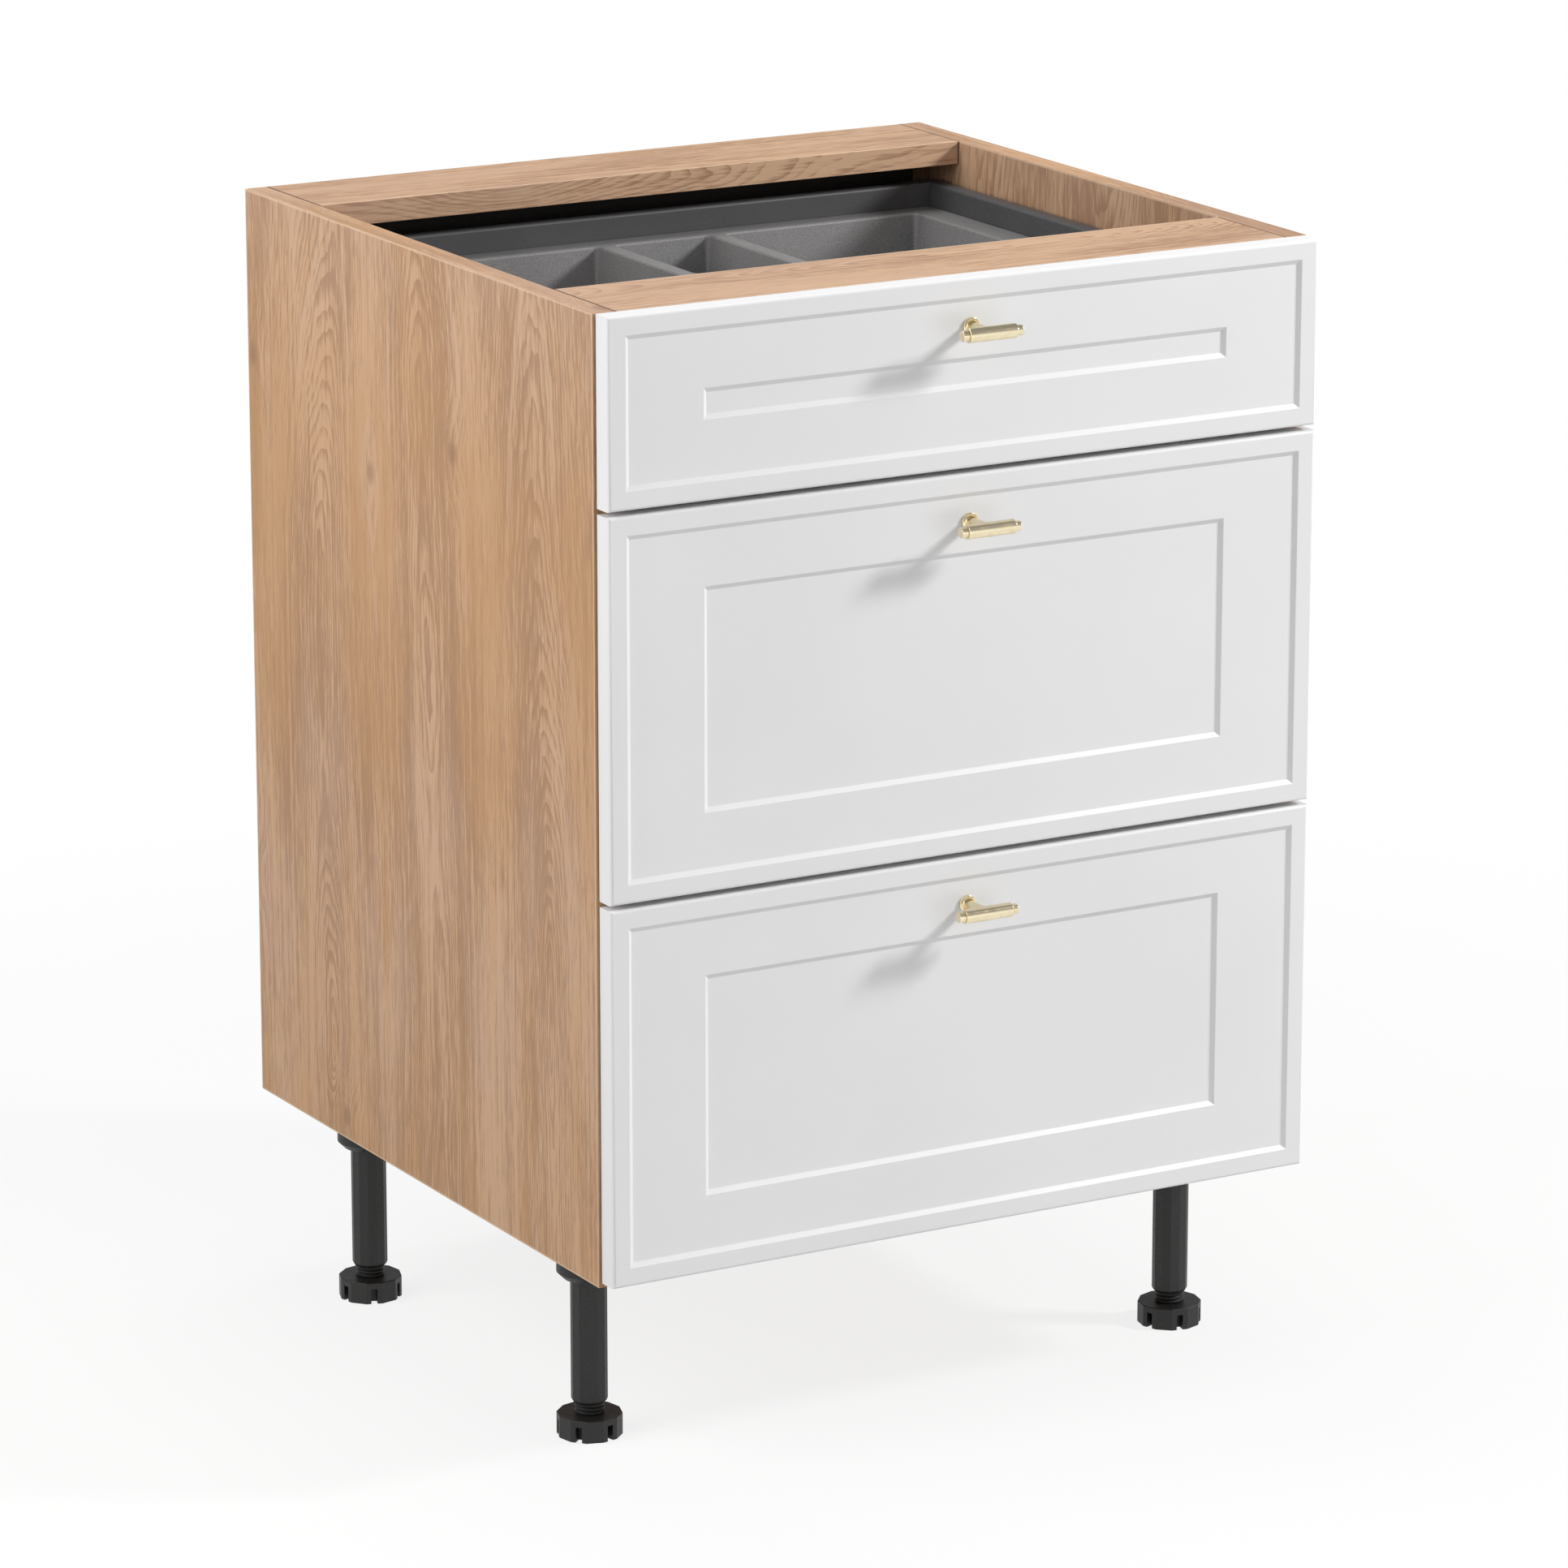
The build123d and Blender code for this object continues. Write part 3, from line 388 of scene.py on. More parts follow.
def oak_melamine(node, look, along, across, through, warmth, painted_sheen, butted):
    """Oak-print melamine on chipboard, pressed against a satin steel plate and edged with plastic strip.

    The print gives straight grain between columns of arches, fine streaks, soft blotches and a few
    knots. The resin over it gives an even satin sheen with shallow pressed pores, and a pale hairline
    shows where the edging strip meets the face. Grain runs the length of every edging strip. The ends
    of a butted board have no strip, but a dark joint.
    """
    material, t = new_material("oak_print_melamine_" + node)
    low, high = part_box(node)
    place, side, run, flat, on_edge = board_place(t, along, across, through)
    swell, heart = oak_knots(t, flat)
    ring, off = oak_rings(t, look, flat, side, run, low[along], swell)
    count = add(t, "Math", {0: ring, 1: look.ring}, operation="DIVIDE")
    lines = {"W": count, "Scale": 0.35, "Detail": 3.0, "Roughness": 0.6}
    bands = add(t, "TexNoise", lines, noise_dimensions="1D")
    # Dark late wood at the end of each year's ring, sharp on one side
    year = add(t, "Math", {0: bands, 1: 1.6, 2: count}, operation="MULTIPLY_ADD")
    part = add(t, "Math", {0: year}, operation="FRACT")
    late = add(t, "MapRange", {0: part, 1: 0.45, 2: 0.95, 3: -0.3, 4: 0.7})
    # The rings show most near the hearts, and fade into straight grain between the columns
    limits = {0: off, 1: ARCH_CORE, 2: ARCH_EDGE, 3: -0.2, 4: -0.1}
    shown = add(t, "MapRange", limits, interpolation_type="SMOOTHSTEP")
    # Long straight streaks, the finest fibres, and clouds of tone
    long = add(t, "VectorMath", {0: flat, 1: scales_for(*STREAK_SIZE)}, operation="MULTIPLY")
    streaks = add(t, "TexNoise", {"Vector": long, "Scale": 1.0, "Detail": 4.0, "Roughness": 0.6})
    fineness = (1 / look.fibre, scale_for(FIBRE_LENGTH), 1 / look.fibre)
    thin = add(t, "VectorMath", {0: flat, 1: fineness}, operation="MULTIPLY")
    fibres = add(t, "TexNoise", {"Vector": thin, "Scale": 1.0, "Detail": 2.0, "Roughness": 0.6})
    puff = add(t, "VectorMath", {0: flat, 1: scales_for(*CLOUD_SIZE)}, operation="MULTIPLY")
    clouds = add(t, "TexNoise", {"Vector": puff, "Scale": 1.0, "Detail": 2.0})
    # The tone starts paler on the cross boards: a painted sheen, for the light on their top faces
    tone = add(t, "Math", {0: bands, 1: BAND_WEIGHT, 2: painted_sheen + TONE_LEVEL}, operation="MULTIPLY_ADD")
    tone = add(t, "Math", {0: late, 1: shown, 2: tone}, operation="MULTIPLY_ADD")
    for feature, weight in ((streaks, STREAK_WEIGHT), (fibres, FIBRE_WEIGHT), (clouds, CLOUD_WEIGHT)):
        tone = add(t, "Math", {0: feature, 1: weight, 2: tone}, operation="MULTIPLY_ADD")
    stops = ((DARK_TONE, look.dark), (PALE_TONE, look.pale), (MIDDLE_TONE, look.middle))
    printed = add(t, "ValToRGB", {0: tone}, ramp=stops)
    # Broad streaks that follow the rings lean to a richer brown or to grey
    broad = add(t, "CombineXYZ", {0: ring, 1: run})
    drift = add(t, "VectorMath", {0: broad, 1: (*scales_for(*TINT_SIZE), 0.0)}, operation="MULTIPLY")
    lean = add(t, "TexNoise", {"Vector": drift, "Scale": 1.0, "Detail": 3.0, "Roughness": 0.55})
    # How far the streaks lean to richer brown: full on the sides, nearly none on the cross boards, whose
    # greyer print is a painted sheen of the light on their tops
    richer = add(t, "MapRange", {0: lean, 1: 0.56, 2: 0.3, 3: 0.0, 4: warmth})
    greyer = add(t, "MapRange", {0: lean, 1: 0.48, 2: 0.7, 3: 0.0, 4: 0.7})
    dark = add(t, "Math", {0: heart, 1: KNOT_SHADE}, operation="MULTIPLY")
    # The pale hairline of the edging, on the face only
    strips = (across,) if butted else (along, across)
    rim = edge_distance(t, place, low, high, strips)
    limits = {0: rim, 1: look.border, 2: look.border * LINE_FADE, 3: LINE_STRENGTH, 4: 0.0}
    hairline = add(t, "MapRange", limits)
    on_face = add(t, "Math", {0: 1.0, 1: on_edge}, operation="SUBTRACT")
    lined = add(t, "Math", {0: hairline, 1: on_face}, operation="MULTIPLY")
    coats = [(richer, look.rich), (greyer, look.grey), (dark, look.knot), (lined, look.line)]
    if butted:
        # The joint is a few tenths of a millimetre wide in reality, and drawn wider to show
        end = edge_distance(t, place, low, high, (along,))
        limits = {0: end, 1: look.gap, 2: look.gap * JOINT_FADE, 3: JOINT_STRENGTH, 4: 0.0}
        coats.append((add(t, "MapRange", limits), look.joint))
    colour = printed.outputs[0]
    for share, coat in coats:
        blend = {0: share, COLOUR_A: colour, COLOUR_B: rgba(coat)}
        colour = add(t, "Mix", blend, data_type="RGBA").outputs[MIXED]
    rough = add(t, "MapRange", {0: fibres, 1: 0.3, 2: 0.7, 3: 0.56, 4: 0.68})
    pores = add(t, "Bump", {"Strength": 0.25, "Distance": 0.08 * MM, "Height": fibres})
    shader = add(
        t, "BsdfPrincipled", {"Base Color": colour, "Roughness": rough, "IOR": 1.5, "Normal": pores}
    )
    add(t, "OutputMaterial", {"Surface": shader})
    return material


def painted_hardboard(look):
    """Hardboard with a dark rolled coat of paint: nearly black, matt, with a faint roller stipple."""
    material, t = new_material("painted_hardboard")
    place = add(t, "TexCoord").outputs["Object"]
    # Roller stipple of 2 mm, and slow cloudiness of about 140 mm
    stipple = add(t, "TexNoise", {"Vector": place, "Scale": scale_for(2.0), "Detail": 2.0})
    clouds = add(t, "TexNoise", {"Vector": place, "Scale": scale_for(142.9), "Detail": 2.0})
    colour = add(t, "ValToRGB", {0: clouds}, ramp=((0.3, look.back), (0.75, shaded(look.back, 1.5))))
    rough = add(t, "MapRange", {0: stipple, 1: 0.3, 2: 0.7, 3: 0.6, 4: 0.75})
    relief = add(t, "Bump", {"Strength": 0.3, "Distance": 0.15 * MM, "Height": stipple})
    shader = add(
        t, "BsdfPrincipled", {"Base Color": colour, "Roughness": rough, "IOR": 1.48, "Normal": relief}
    )
    add(t, "OutputMaterial", {"Surface": shader})
    return material


def satin_lacquer(look):
    """White polyurethane lacquer, sprayed on fibreboard: even satin gloss, with a slight orange peel."""
    material, t = new_material("satin_white_lacquer")
    place = add(t, "TexCoord").outputs["Object"]
    # Orange peel of about 3 mm, and slow changes of tone and gloss over about 180 mm
    peel = add(t, "TexNoise", {"Vector": place, "Scale": scale_for(3.03), "Detail": 1.0})
    slow = add(t, "TexNoise", {"Vector": place, "Scale": scale_for(181.8), "Detail": 2.0})
    warm = shaded(look.lacquer, 0.975, 0.972, 0.965)
    colour = add(t, "ValToRGB", {0: slow}, ramp=((0.35, warm), (0.65, look.lacquer)))
    rough = add(t, "MapRange", {0: slow, 1: 0.3, 2: 0.7, 3: 0.40, 4: 0.34})
    relief = add(t, "Bump", {"Strength": 0.05, "Distance": 0.2 * MM, "Height": peel})
    shader = add(
        t, "BsdfPrincipled", {"Base Color": colour, "Roughness": rough, "IOR": 1.5, "Normal": relief}
    )
    add(t, "OutputMaterial", {"Surface": shader})
    return material


def polished_brass(look):
    """Pale brass, turned and polished: bright, warm reflections with faint rings from the lathe."""
    material, t = new_material("polished_brass")
    place = add(t, "TexCoord").outputs["Object"]
    # Lathe rings run round a bar that lies along X; 0.1 mm in reality, drawn 0.5 mm wide to show
    rings = add(t, "VectorMath", {0: place, 1: scales_for(0.5, 16.67, 16.67)}, operation="MULTIPLY")
    turned = add(t, "TexNoise", {"Vector": rings, "Scale": 1.0, "Detail": 2.0})
    # Tarnish in soft patches of about 6 mm
    tarnish = add(t, "TexNoise", {"Vector": place, "Scale": scale_for(6.25), "Detail": 3.0})
    deeper = shaded(look.brass, 0.93, 0.91, 0.86)
    colour = add(t, "ValToRGB", {0: tarnish}, ramp=((0.35, deeper), (0.6, look.brass)))
    rough = add(t, "MapRange", {0: tarnish, 1: 0.3, 2: 0.7, 3: 0.2, 4: 0.12})
    relief = add(t, "Bump", {"Strength": 0.06, "Distance": 0.05 * MM, "Height": turned})
    shader = add(
        t, "BsdfPrincipled", {"Base Color": colour, "Metallic": 1.0, "Roughness": rough, "Normal": relief}
    )
    add(t, "OutputMaterial", {"Surface": shader})
    return material


def grained_coat(name, tone, grain, depth, roughness, ior):
    """A coloured coat or moulding with an even grain: fine bumps that break up the sheen, and specks."""
    material, t = new_material(name)
    place = add(t, "TexCoord").outputs["Object"]
    # The grain itself, and slow clouding over about 110 mm
    grit = add(t, "TexNoise", {"Vector": place, "Scale": 1 / grain, "Detail": 3.0, "Roughness": 0.6})
    slow = add(t, "TexNoise", {"Vector": place, "Scale": scale_for(111.1), "Detail": 2.0})
    mixed = add(t, "Math", {0: slow, 1: 0.5, 2: grit}, operation="MULTIPLY_ADD")
    colour = add(t, "ValToRGB", {0: mixed}, ramp=((0.55, shaded(tone, 0.72)), (0.95, shaded(tone, 1.28))))
    rough = add(t, "MapRange", {0: mixed, 1: 0.5, 2: 1.0, 3: roughness + 0.07, 4: roughness - 0.07})
    relief = add(t, "Bump", {"Strength": 0.5, "Distance": depth, "Height": grit})
    shader = add(
        t, "BsdfPrincipled", {"Base Color": colour, "Roughness": rough, "IOR": ior, "Normal": relief}
    )
    add(t, "OutputMaterial", {"Surface": shader})
    return material


def plated_steel(name, tone, line_sizes, roughness):
    """Rolled or cast metal under zinc: cool grey, with draw lines along the piece and soft clouding."""
    material, t = new_material(name)
    place = add(t, "TexCoord").outputs["Object"]
    drawn = add(t, "VectorMath", {0: place, 1: scales_for(*line_sizes)}, operation="MULTIPLY")
    lines = add(t, "TexNoise", {"Vector": drawn, "Scale": 1.0, "Detail": 3.0})
    # Zinc bloom in patches of about 14 mm
    bloom = add(t, "TexNoise", {"Vector": place, "Scale": scale_for(14.29), "Detail": 3.0})
    mixed = add(t, "Math", {0: lines, 1: 0.6, 2: bloom}, operation="MULTIPLY_ADD")
    colour = add(t, "ValToRGB", {0: mixed}, ramp=((0.6, shaded(tone, 0.72)), (0.95, tone)))
    rough = add(t, "MapRange", {0: mixed, 1: 0.55, 2: 1.05, 3: roughness + 0.1, 4: roughness - 0.06})
    relief = add(t, "Bump", {"Strength": 0.15, "Distance": 0.1 * MM, "Height": lines})
    shader = add(
        t, "BsdfPrincipled", {"Base Color": colour, "Metallic": 1.0, "Roughness": rough, "Normal": relief}
    )
    add(t, "OutputMaterial", {"Surface": shader})
    return material


def turned_beech(look):
    """Beech dowel rod: pale pinkish wood with short dark flecks along it."""
    material, t = new_material("turned_beech")
    place = add(t, "TexCoord").outputs["Object"]
    # Flecks 0.5 mm wide and 4 mm long, along X as the dowels lie
    drawn = add(t, "VectorMath", {0: place, 1: scales_for(4.0, 0.5, 0.5)}, operation="MULTIPLY")
    flecks = add(t, "TexNoise", {"Vector": drawn, "Scale": 1.0, "Detail": 2.0})
    colour = add(t, "ValToRGB", {0: flecks}, ramp=((0.35, shaded(look.beech, 0.7)), (0.55, look.beech)))
    relief = add(t, "Bump", {"Strength": 0.3, "Distance": 0.2 * MM, "Height": flecks})
    shader = add(
        t, "BsdfPrincipled", {"Base Color": colour, "Roughness": 0.6, "IOR": 1.5, "Normal": relief}
    )
    add(t, "OutputMaterial", {"Surface": shader})
    return material


# Edges that turn by more than this stay sharp
SHARP_TURN = math.radians(32)


def finish_nodes(material, *nodes):
    """Give CAD pieces that keep their shape a new finish."""
    for node in nodes:
        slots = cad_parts[node].data.materials
        slots.clear()
        slots.append(material)


def place_piece(bm, name, material, body, slot, *nodes):
    """Turn a finished mesh into a piece that rides on its body and stands for its CAD nodes."""
    bmesh.ops.recalc_face_normals(bm, faces=bm.faces)
    mesh = bpy.data.meshes.new(name)
    bm.to_mesh(mesh)
    bm.free()
    mesh.shade_smooth()
    mesh.set_sharp_from_angle(angle=SHARP_TURN)
    mesh.materials.append(material)
    piece = bpy.data.objects.new(name, mesh)
    bpy.context.scene.collection.objects.link(piece)
    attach(piece, body)
    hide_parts(*nodes)
    return piece


def keep_flats(piece):
    """Let wide flat faces set the shading along their rounded edges."""
    weighted = piece.modifiers.new("Flat faces first", "WEIGHTED_NORMAL")
    weighted.keep_sharp = True


def skin(bm, rings, cap_first=True, cap_last=True):
    """Join rings of points, each with as many points, by four-sided faces, and close the ends."""
    loops = [[bm.verts.new(point) for point in ring] for ring in rings]
    size = len(loops[0])
    for lower, upper in zip(loops, loops[1:]):
        for i in range(size):
            j = (i + 1) % size
            bm.faces.new((lower[i], lower[j], upper[j], upper[i]))
    if cap_first:
        bm.faces.new(reversed(loops[0]))
    if cap_last:
        bm.faces.new(loops[-1])
    return loops


def arc(centre, radius, start, end, steps):
    """Points of an arc in a profile, from one angle to another in degrees."""
    turns = [math.radians(start + (end - start) * i / steps) for i in range(steps + 1)]
    return [(centre[0] + radius * math.cos(a), centre[1] + radius * math.sin(a)) for a in turns]


class CABINET_OT_boards(bpy.types.Operator):
    """Print the carcass boards with oak, upright on the sides and along the others, and paint the back"""

    bl_idname = "cabinet.boards"
    bl_label = "Carcass boards"

    SIDES = dict(along=Z, across=Y, through=X, warmth=0.75, painted_sheen=0.0, butted=False)
    # Painted sheen: the cross boards, which show their top faces, get a paler and less warm print than the
    # sides, for the light's sheen on those faces
    CROSS_BOARDS = dict(along=X, across=Y, through=Z, warmth=0.05, painted_sheen=0.02, butted=True)

    def execute(self, context):
        look = context.scene.cabinet_boards
        for node in ("side_panel_left", "side_panel_right"):
            finish_nodes(oak_melamine(node, look, **self.SIDES), node)
        for node in ("front_top_rail", "rear_top_rail", "bottom_panel"):
            finish_nodes(oak_melamine(node, look, **self.CROSS_BOARDS), node)
        finish_nodes(painted_hardboard(look), "back_panel")
        return {"FINISHED"}


class CABINET_OT_fittings(bpy.types.Operator):
    """Finish the dowels, cams, bolts and screws of the board joints, legs and runners"""

    bl_idname = "cabinet.fittings"
    bl_label = "Fittings"

    def execute(self, context):
        look = context.scene.cabinet_drawers
        # Marks on bolts and screws are a few tenths of a millimetre apart, a cast skin's are coarser
        zinc = plated_steel("zinc_plated_screws", look.zinc, (0.4, 0.4, 0.4), 0.3)
        casting = plated_steel("die_cast_zinc", look.casting, (1.11, 1.11, 1.11), 0.45)
        finish_nodes(turned_beech(look), "carcass_dowels")
        finish_nodes(casting, "cam_locks")
        finish_nodes(zinc, "cam_bolts", "leg_screws", "runner_screws")
        finish_nodes(zinc, *[drawer + "_knob_screw" for drawer in DRAWERS])
        return {"FINISHED"}


class CABINET_OT_legs(bpy.types.Operator):
    """Finish the sockets, tubes and feet of the levelling legs"""

    bl_idname = "cabinet.legs"
    bl_label = "Levelling legs"

    def execute(self, context):
        look = context.scene.cabinet_legs
        # Polypropylene from a spark-textured mould, its 0.5 mm grit drawn coarser to show
        plastic = grained_coat("moulded_black_polypropylene", look.plastic, look.grit, 0.2 * MM, 0.52, 1.49)
        finish_nodes(plastic, "leg_sockets")
        for place in LEG_PLACES:
            finish_nodes(plastic, "leg_tube_" + place, "foot_" + place)
        return {"FINISHED"}


class CABINET_OT_fronts(bpy.types.Operator):
    """Build the lacquered fronts with rounded edges and soft routed steps"""

    bl_idname = "cabinet.fronts"
    bl_label = "Drawer fronts"

    REAR_STEPS = 3
    EDGE_STEPS = 8
    STEP_STEPS = 4

    def profile(self, look, thickness):
        """Inset, depth and frame of each of a front's rings, from its rear edge round to its field."""
        edge, rear, soft = look.edge_radius, look.rear_arris, look.step_radius
        outline = arc((rear, thickness - rear), rear, 90, 180, self.REAR_STEPS)
        outline += arc((edge, edge), edge, 180, 270, self.EDGE_STEPS)
        rings = [(inset, depth, 0) for inset, depth in outline]
        slope = math.atan2(look.step_depth, look.step_run)
        tangent = soft * math.tan(slope / 2)
        turn = math.degrees(slope)
        for level in (1, 2):
            top = (level - 1) * look.step_depth
            foot = top + look.step_depth
            outline = arc((-tangent, top + soft), soft, 270, 270 + turn, self.STEP_STEPS)
            outline += arc((look.step_run + tangent, foot - soft), soft, 90 + turn, 90, self.STEP_STEPS)
            rings += [(inset, depth, level) for inset, depth in outline]
        return rings

    def execute(self, context):
        look = context.scene.cabinet_fronts
        lacquer = satin_lacquer(look)
        frames = ((0.0, 0.0), (look.border, look.border), (look.field_x, look.field_z))
        for drawer in DRAWERS:
            low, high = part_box(drawer + "_front")
            rings = []
            for inset, depth, level in self.profile(look, high.y - low.y):
                x = inset + frames[level][0]
                z = inset + frames[level][1]
                y = low.y + depth
                rings.append(
                    [
                        (low.x + x, y, low.z + z),
                        (high.x - x, y, low.z + z),
                        (high.x - x, y, high.z - z),
                        (low.x + x, y, high.z - z),
                    ]
                )
            bm = bmesh.new()
            skin(bm, rings)
            name, body = f"{drawer}_lacquered_front", f"{drawer}_drawer"
            piece = place_piece(bm, name, lacquer, body, "white_lacquer", f"{drawer}_front")
            keep_flats(piece)
        return {"FINISHED"}


class CABINET_OT_knobs(bpy.types.Operator):
    """Turn the brass bar knobs: a stepped bar and a flared post for each drawer"""

    bl_idname = "cabinet.knobs"
    bl_label = "Bar knobs"

    SEGMENTS = 72
    EDGE_STEPS = 5
    FLARE_STEPS = 6
    # The neck turned between a bar and its tip: its depth, its length and that of its slope
    NECK_DEPTH = 0.3 * MM
    NECK_LENGTH = 0.4 * MM
    NECK_SLOPE = 0.3 * MM
    # The flat of a tip's end, as a share of its radius
    TIP_FLAT = 0.4
    # The disc's lip, the groove inside it and the inset of the flare's foot
    LIP = 1.5 * MM
    GROOVE = 0.5 * MM
    FOOT_INSET = 0.4 * MM

    def turned(self, profile, origin, axis, across, up):
        """Rings round an axis, from a profile of distance along it and radius."""
        turns = [2 * math.pi * i / self.SEGMENTS for i in range(self.SEGMENTS)]
        spokes = [across * math.cos(a) + up * math.sin(a) for a in turns]
        return [[origin + axis * s + spoke * r for spoke in spokes] for s, r in profile]

    def quarter(self, along, out, radius):
        """A quarter round that ends an outline's stretch at the given place and radius."""
        rounding = arc((0.0, 0.0), radius, 0, 90, self.EDGE_STEPS)
        return [(along - radius + s, out - radius + r) for r, s in rounding]

    def bar_profile(self, look, half, radius):
        """Outline of a bar, from the end of one tip to the end of the other."""
        body, tip = half - look.tip_length, look.tip_radius
        neck, neck_end = tip - self.NECK_DEPTH, body + self.NECK_LENGTH
        outline = [(0.0, radius)]
        outline += self.quarter(body, radius, look.edge)
        outline += [(body, neck), (neck_end, neck), (neck_end + self.NECK_SLOPE, tip)]
        outline += self.quarter(half, tip, look.edge)
        outline += [(half, self.TIP_FLAT * tip)]
        return [(-s, r) for s, r in reversed(outline)] + outline[1:]

    def post_profile(self, look, length, disc):
        """Outline of a post, from the face of the front, over the disc and the flare, to the bar."""
        post, ring = look.post_radius, disc - self.LIP
        sunk = look.rosette - self.GROOVE
        outline = [(0.0, disc)]
        outline += self.quarter(look.rosette, disc, look.edge)
        outline += [(look.rosette, ring), (sunk, ring)]
        # The flare is a hollow quarter round that narrows from the groove to the post
        foot, reach = ring - self.FOOT_INSET, look.flare + self.GROOVE
        for c, s in arc((0.0, 0.0), 1.0, 0, 90, self.FLARE_STEPS):
            outline.append((sunk + reach * (1 - c), post + (foot - post) * (1 - s)))
        outline.append((length, post))
        return outline

    def execute(self, context):
        look = context.scene.cabinet_knobs
        brass = polished_brass(look)
        side, out, up = Vector((1, 0, 0)), Vector((0, -1, 0)), Vector((0, 0, 1))
        for drawer in DRAWERS:
            low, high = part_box(drawer + "_knob_bar")
            centre = (low + high) / 2
            profile = self.bar_profile(look, (high.x - low.x) / 2, (high.z - low.z) / 2)
            bm = bmesh.new()
            skin(bm, self.turned(profile, centre, side, out, up))
            bar = place_piece(
                bm, f"{drawer}_brass_bar", brass, f"{drawer}_drawer", "polished_brass", f"{drawer}_knob_bar"
            )
            keep_flats(bar)
            low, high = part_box(drawer + "_knob_post")
            seat = Vector((centre.x, high.y, centre.z))
            profile = self.post_profile(look, high.y - low.y, (high.x - low.x) / 2)
            bm = bmesh.new()
            skin(bm, self.turned(profile, seat, out, side, up))
            stem = place_piece(
                bm, f"{drawer}_brass_post", brass, f"{drawer}_drawer", "polished_brass", f"{drawer}_knob_post"
            )
            keep_flats(stem)
        return {"FINISHED"}


class CABINET_OT_boxes(bpy.types.Operator):
    """Finish the steel drawer boxes: sides, backs, brackets and bottom boards"""

    bl_idname = "cabinet.boxes"
    bl_label = "Drawer boxes"

    def execute(self, context):
        look = context.scene.cabinet_drawers
        # Polyester powder coat with a fine texture; nylon brackets from a finely etched mould
        steel = grained_coat("powder_coated_steel", look.steel, 0.9 * MM, 0.08 * MM, 0.46, 1.5)
        nylon = grained_coat("moulded_grey_nylon", look.bracket, 0.6 * MM, 0.1 * MM, 0.5, 1.53)
        # Melamine pressed against a fine pearl plate
        board = grained_coat("pearl_grey_melamine", look.board, 1.6 * MM, 0.08 * MM, 0.48, 1.5)
        for drawer in DRAWERS:
            finish_nodes(steel, drawer + "_side_left", drawer + "_side_right", drawer + "_back")
            finish_nodes(nylon, drawer + "_front_brackets", drawer + "_rear_brackets")
            finish_nodes(board, drawer + "_bottom")
        return {"FINISHED"}


class CABINET_OT_runners(bpy.types.Operator):
    """Finish the zinc-plated rails of the runners, with their draw lines front to back"""

    bl_idname = "cabinet.runners"
    bl_label = "Runners"

    def execute(self, context):
        look = context.scene.cabinet_drawers
        # Roll lines 0.3 mm apart in reality, drawn 0.8 mm apart to show
        rails = plated_steel("zinc_plated_rails", look.zinc, (0.8, 83.3, 0.8), 0.32)
        for drawer in DRAWERS:
            for kind in ("cabinet", "mid", "drawer"):
                finish_nodes(rails, f"{drawer}_{kind}_rails")
        return {"FINISHED"}


class CABINET_OT_tray(bpy.types.Operator):
    """Mould the cutlery tray: a flat rim with rounded, tapered compartments"""

    bl_idname = "cabinet.tray"
    bl_label = "Cutlery tray"

    ROUND_STEPS = 6
    LEAST_CORNER = 1.5 * MM

    def rounded(self, low, high, grow, radius, z):
        """Points of a rectangle with round corners, grown outwards by a margin."""
        x0, y0, x1, y1 = low[0] - grow, low[1] - grow, high[0] + grow, high[1] + grow
        centres = ((x1 - radius, y1 - radius), (x0 + radius, y1 - radius))
        centres += ((x0 + radius, y0 + radius), (x1 - radius, y0 + radius))
        points = []
        for i, centre in enumerate(centres):
            points += arc(centre, radius, 90 * i, 90 * i + 90, self.ROUND_STEPS)
        return [Vector((x, y, z)) for x, y in points]

    def compartments(self, look, low, high):
        """Low and high corners of the compartments at their rims."""
        left, right = low.x + look.flange_side, high.x - look.flange_side
        near, far = low.y + look.flange_end, high.y - look.flange_end
        wide = right - look.right_width
        middle = wide - look.divider - look.middle_width
        far_left = middle - look.divider
        split = (left + far_left - look.divider) / 2
        rear = far - look.rear_length
        front = rear - look.divider
        return [
            ((wide, near), (right, far)),
            ((middle, rear), (wide - look.divider, far)),
            ((left, rear), (far_left, far)),
            ((middle, near), (wide - look.divider, front)),
            ((split + look.divider, near), (far_left, front)),
            ((left, near), (split, front)),
        ]

    def execute(self, context):
        look = context.scene.cabinet_tray
        low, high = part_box("cutlery_tray")
        rim, fillet = look.rim, look.floor_fillet
        rim_z, floor_z = high.z, low.z + look.wall
        # Outline of a wall from the flat rim down to the floor: outward margin and height
        outline = arc((rim, rim_z - rim), rim, 90, 180, self.ROUND_STEPS)
        outline += arc((-look.draft - fillet, floor_z + fillet), fillet, 0, -90, self.ROUND_STEPS)
        bm = bmesh.new()
        border = skin(bm, [self.rounded(low, high, 0.0, look.outer_corner, rim_z)], False, False)
        flats = [border[0]]
        for near, far in self.compartments(look, low, high):
            rings = [
                self.rounded(near, far, margin, max(look.corner + margin, self.LEAST_CORNER), z)
                for margin, z in outline
            ]
            flats.append(skin(bm, rings, cap_first=False)[0])
        edges = []
        for loop in flats:
            for a, b in zip(loop, loop[1:] + loop[:1]):
                edges.append(bm.edges.get((a, b)) or bm.edges.new((a, b)))
        bmesh.ops.triangle_fill(bm, use_beauty=True, edges=edges, normal=(0, 0, 1))
        # Polystyrene from a mould etched with a fine leather grain, drawn coarse enough to show
        plastic = grained_coat("moulded_grey_polystyrene", look.plastic, 1.0 * MM, 0.1 * MM, 0.5, 1.59)
        piece = place_piece(bm, "moulded_cutlery_tray", plastic, "top_drawer", "tray_plastic", "cutlery_tray")
        shell = piece.modifiers.new("Wall thickness", "SOLIDIFY")
        shell.thickness = look.wall
        shell.offset = -1.0
        keep_flats(piece)
        return {"FINISHED"}


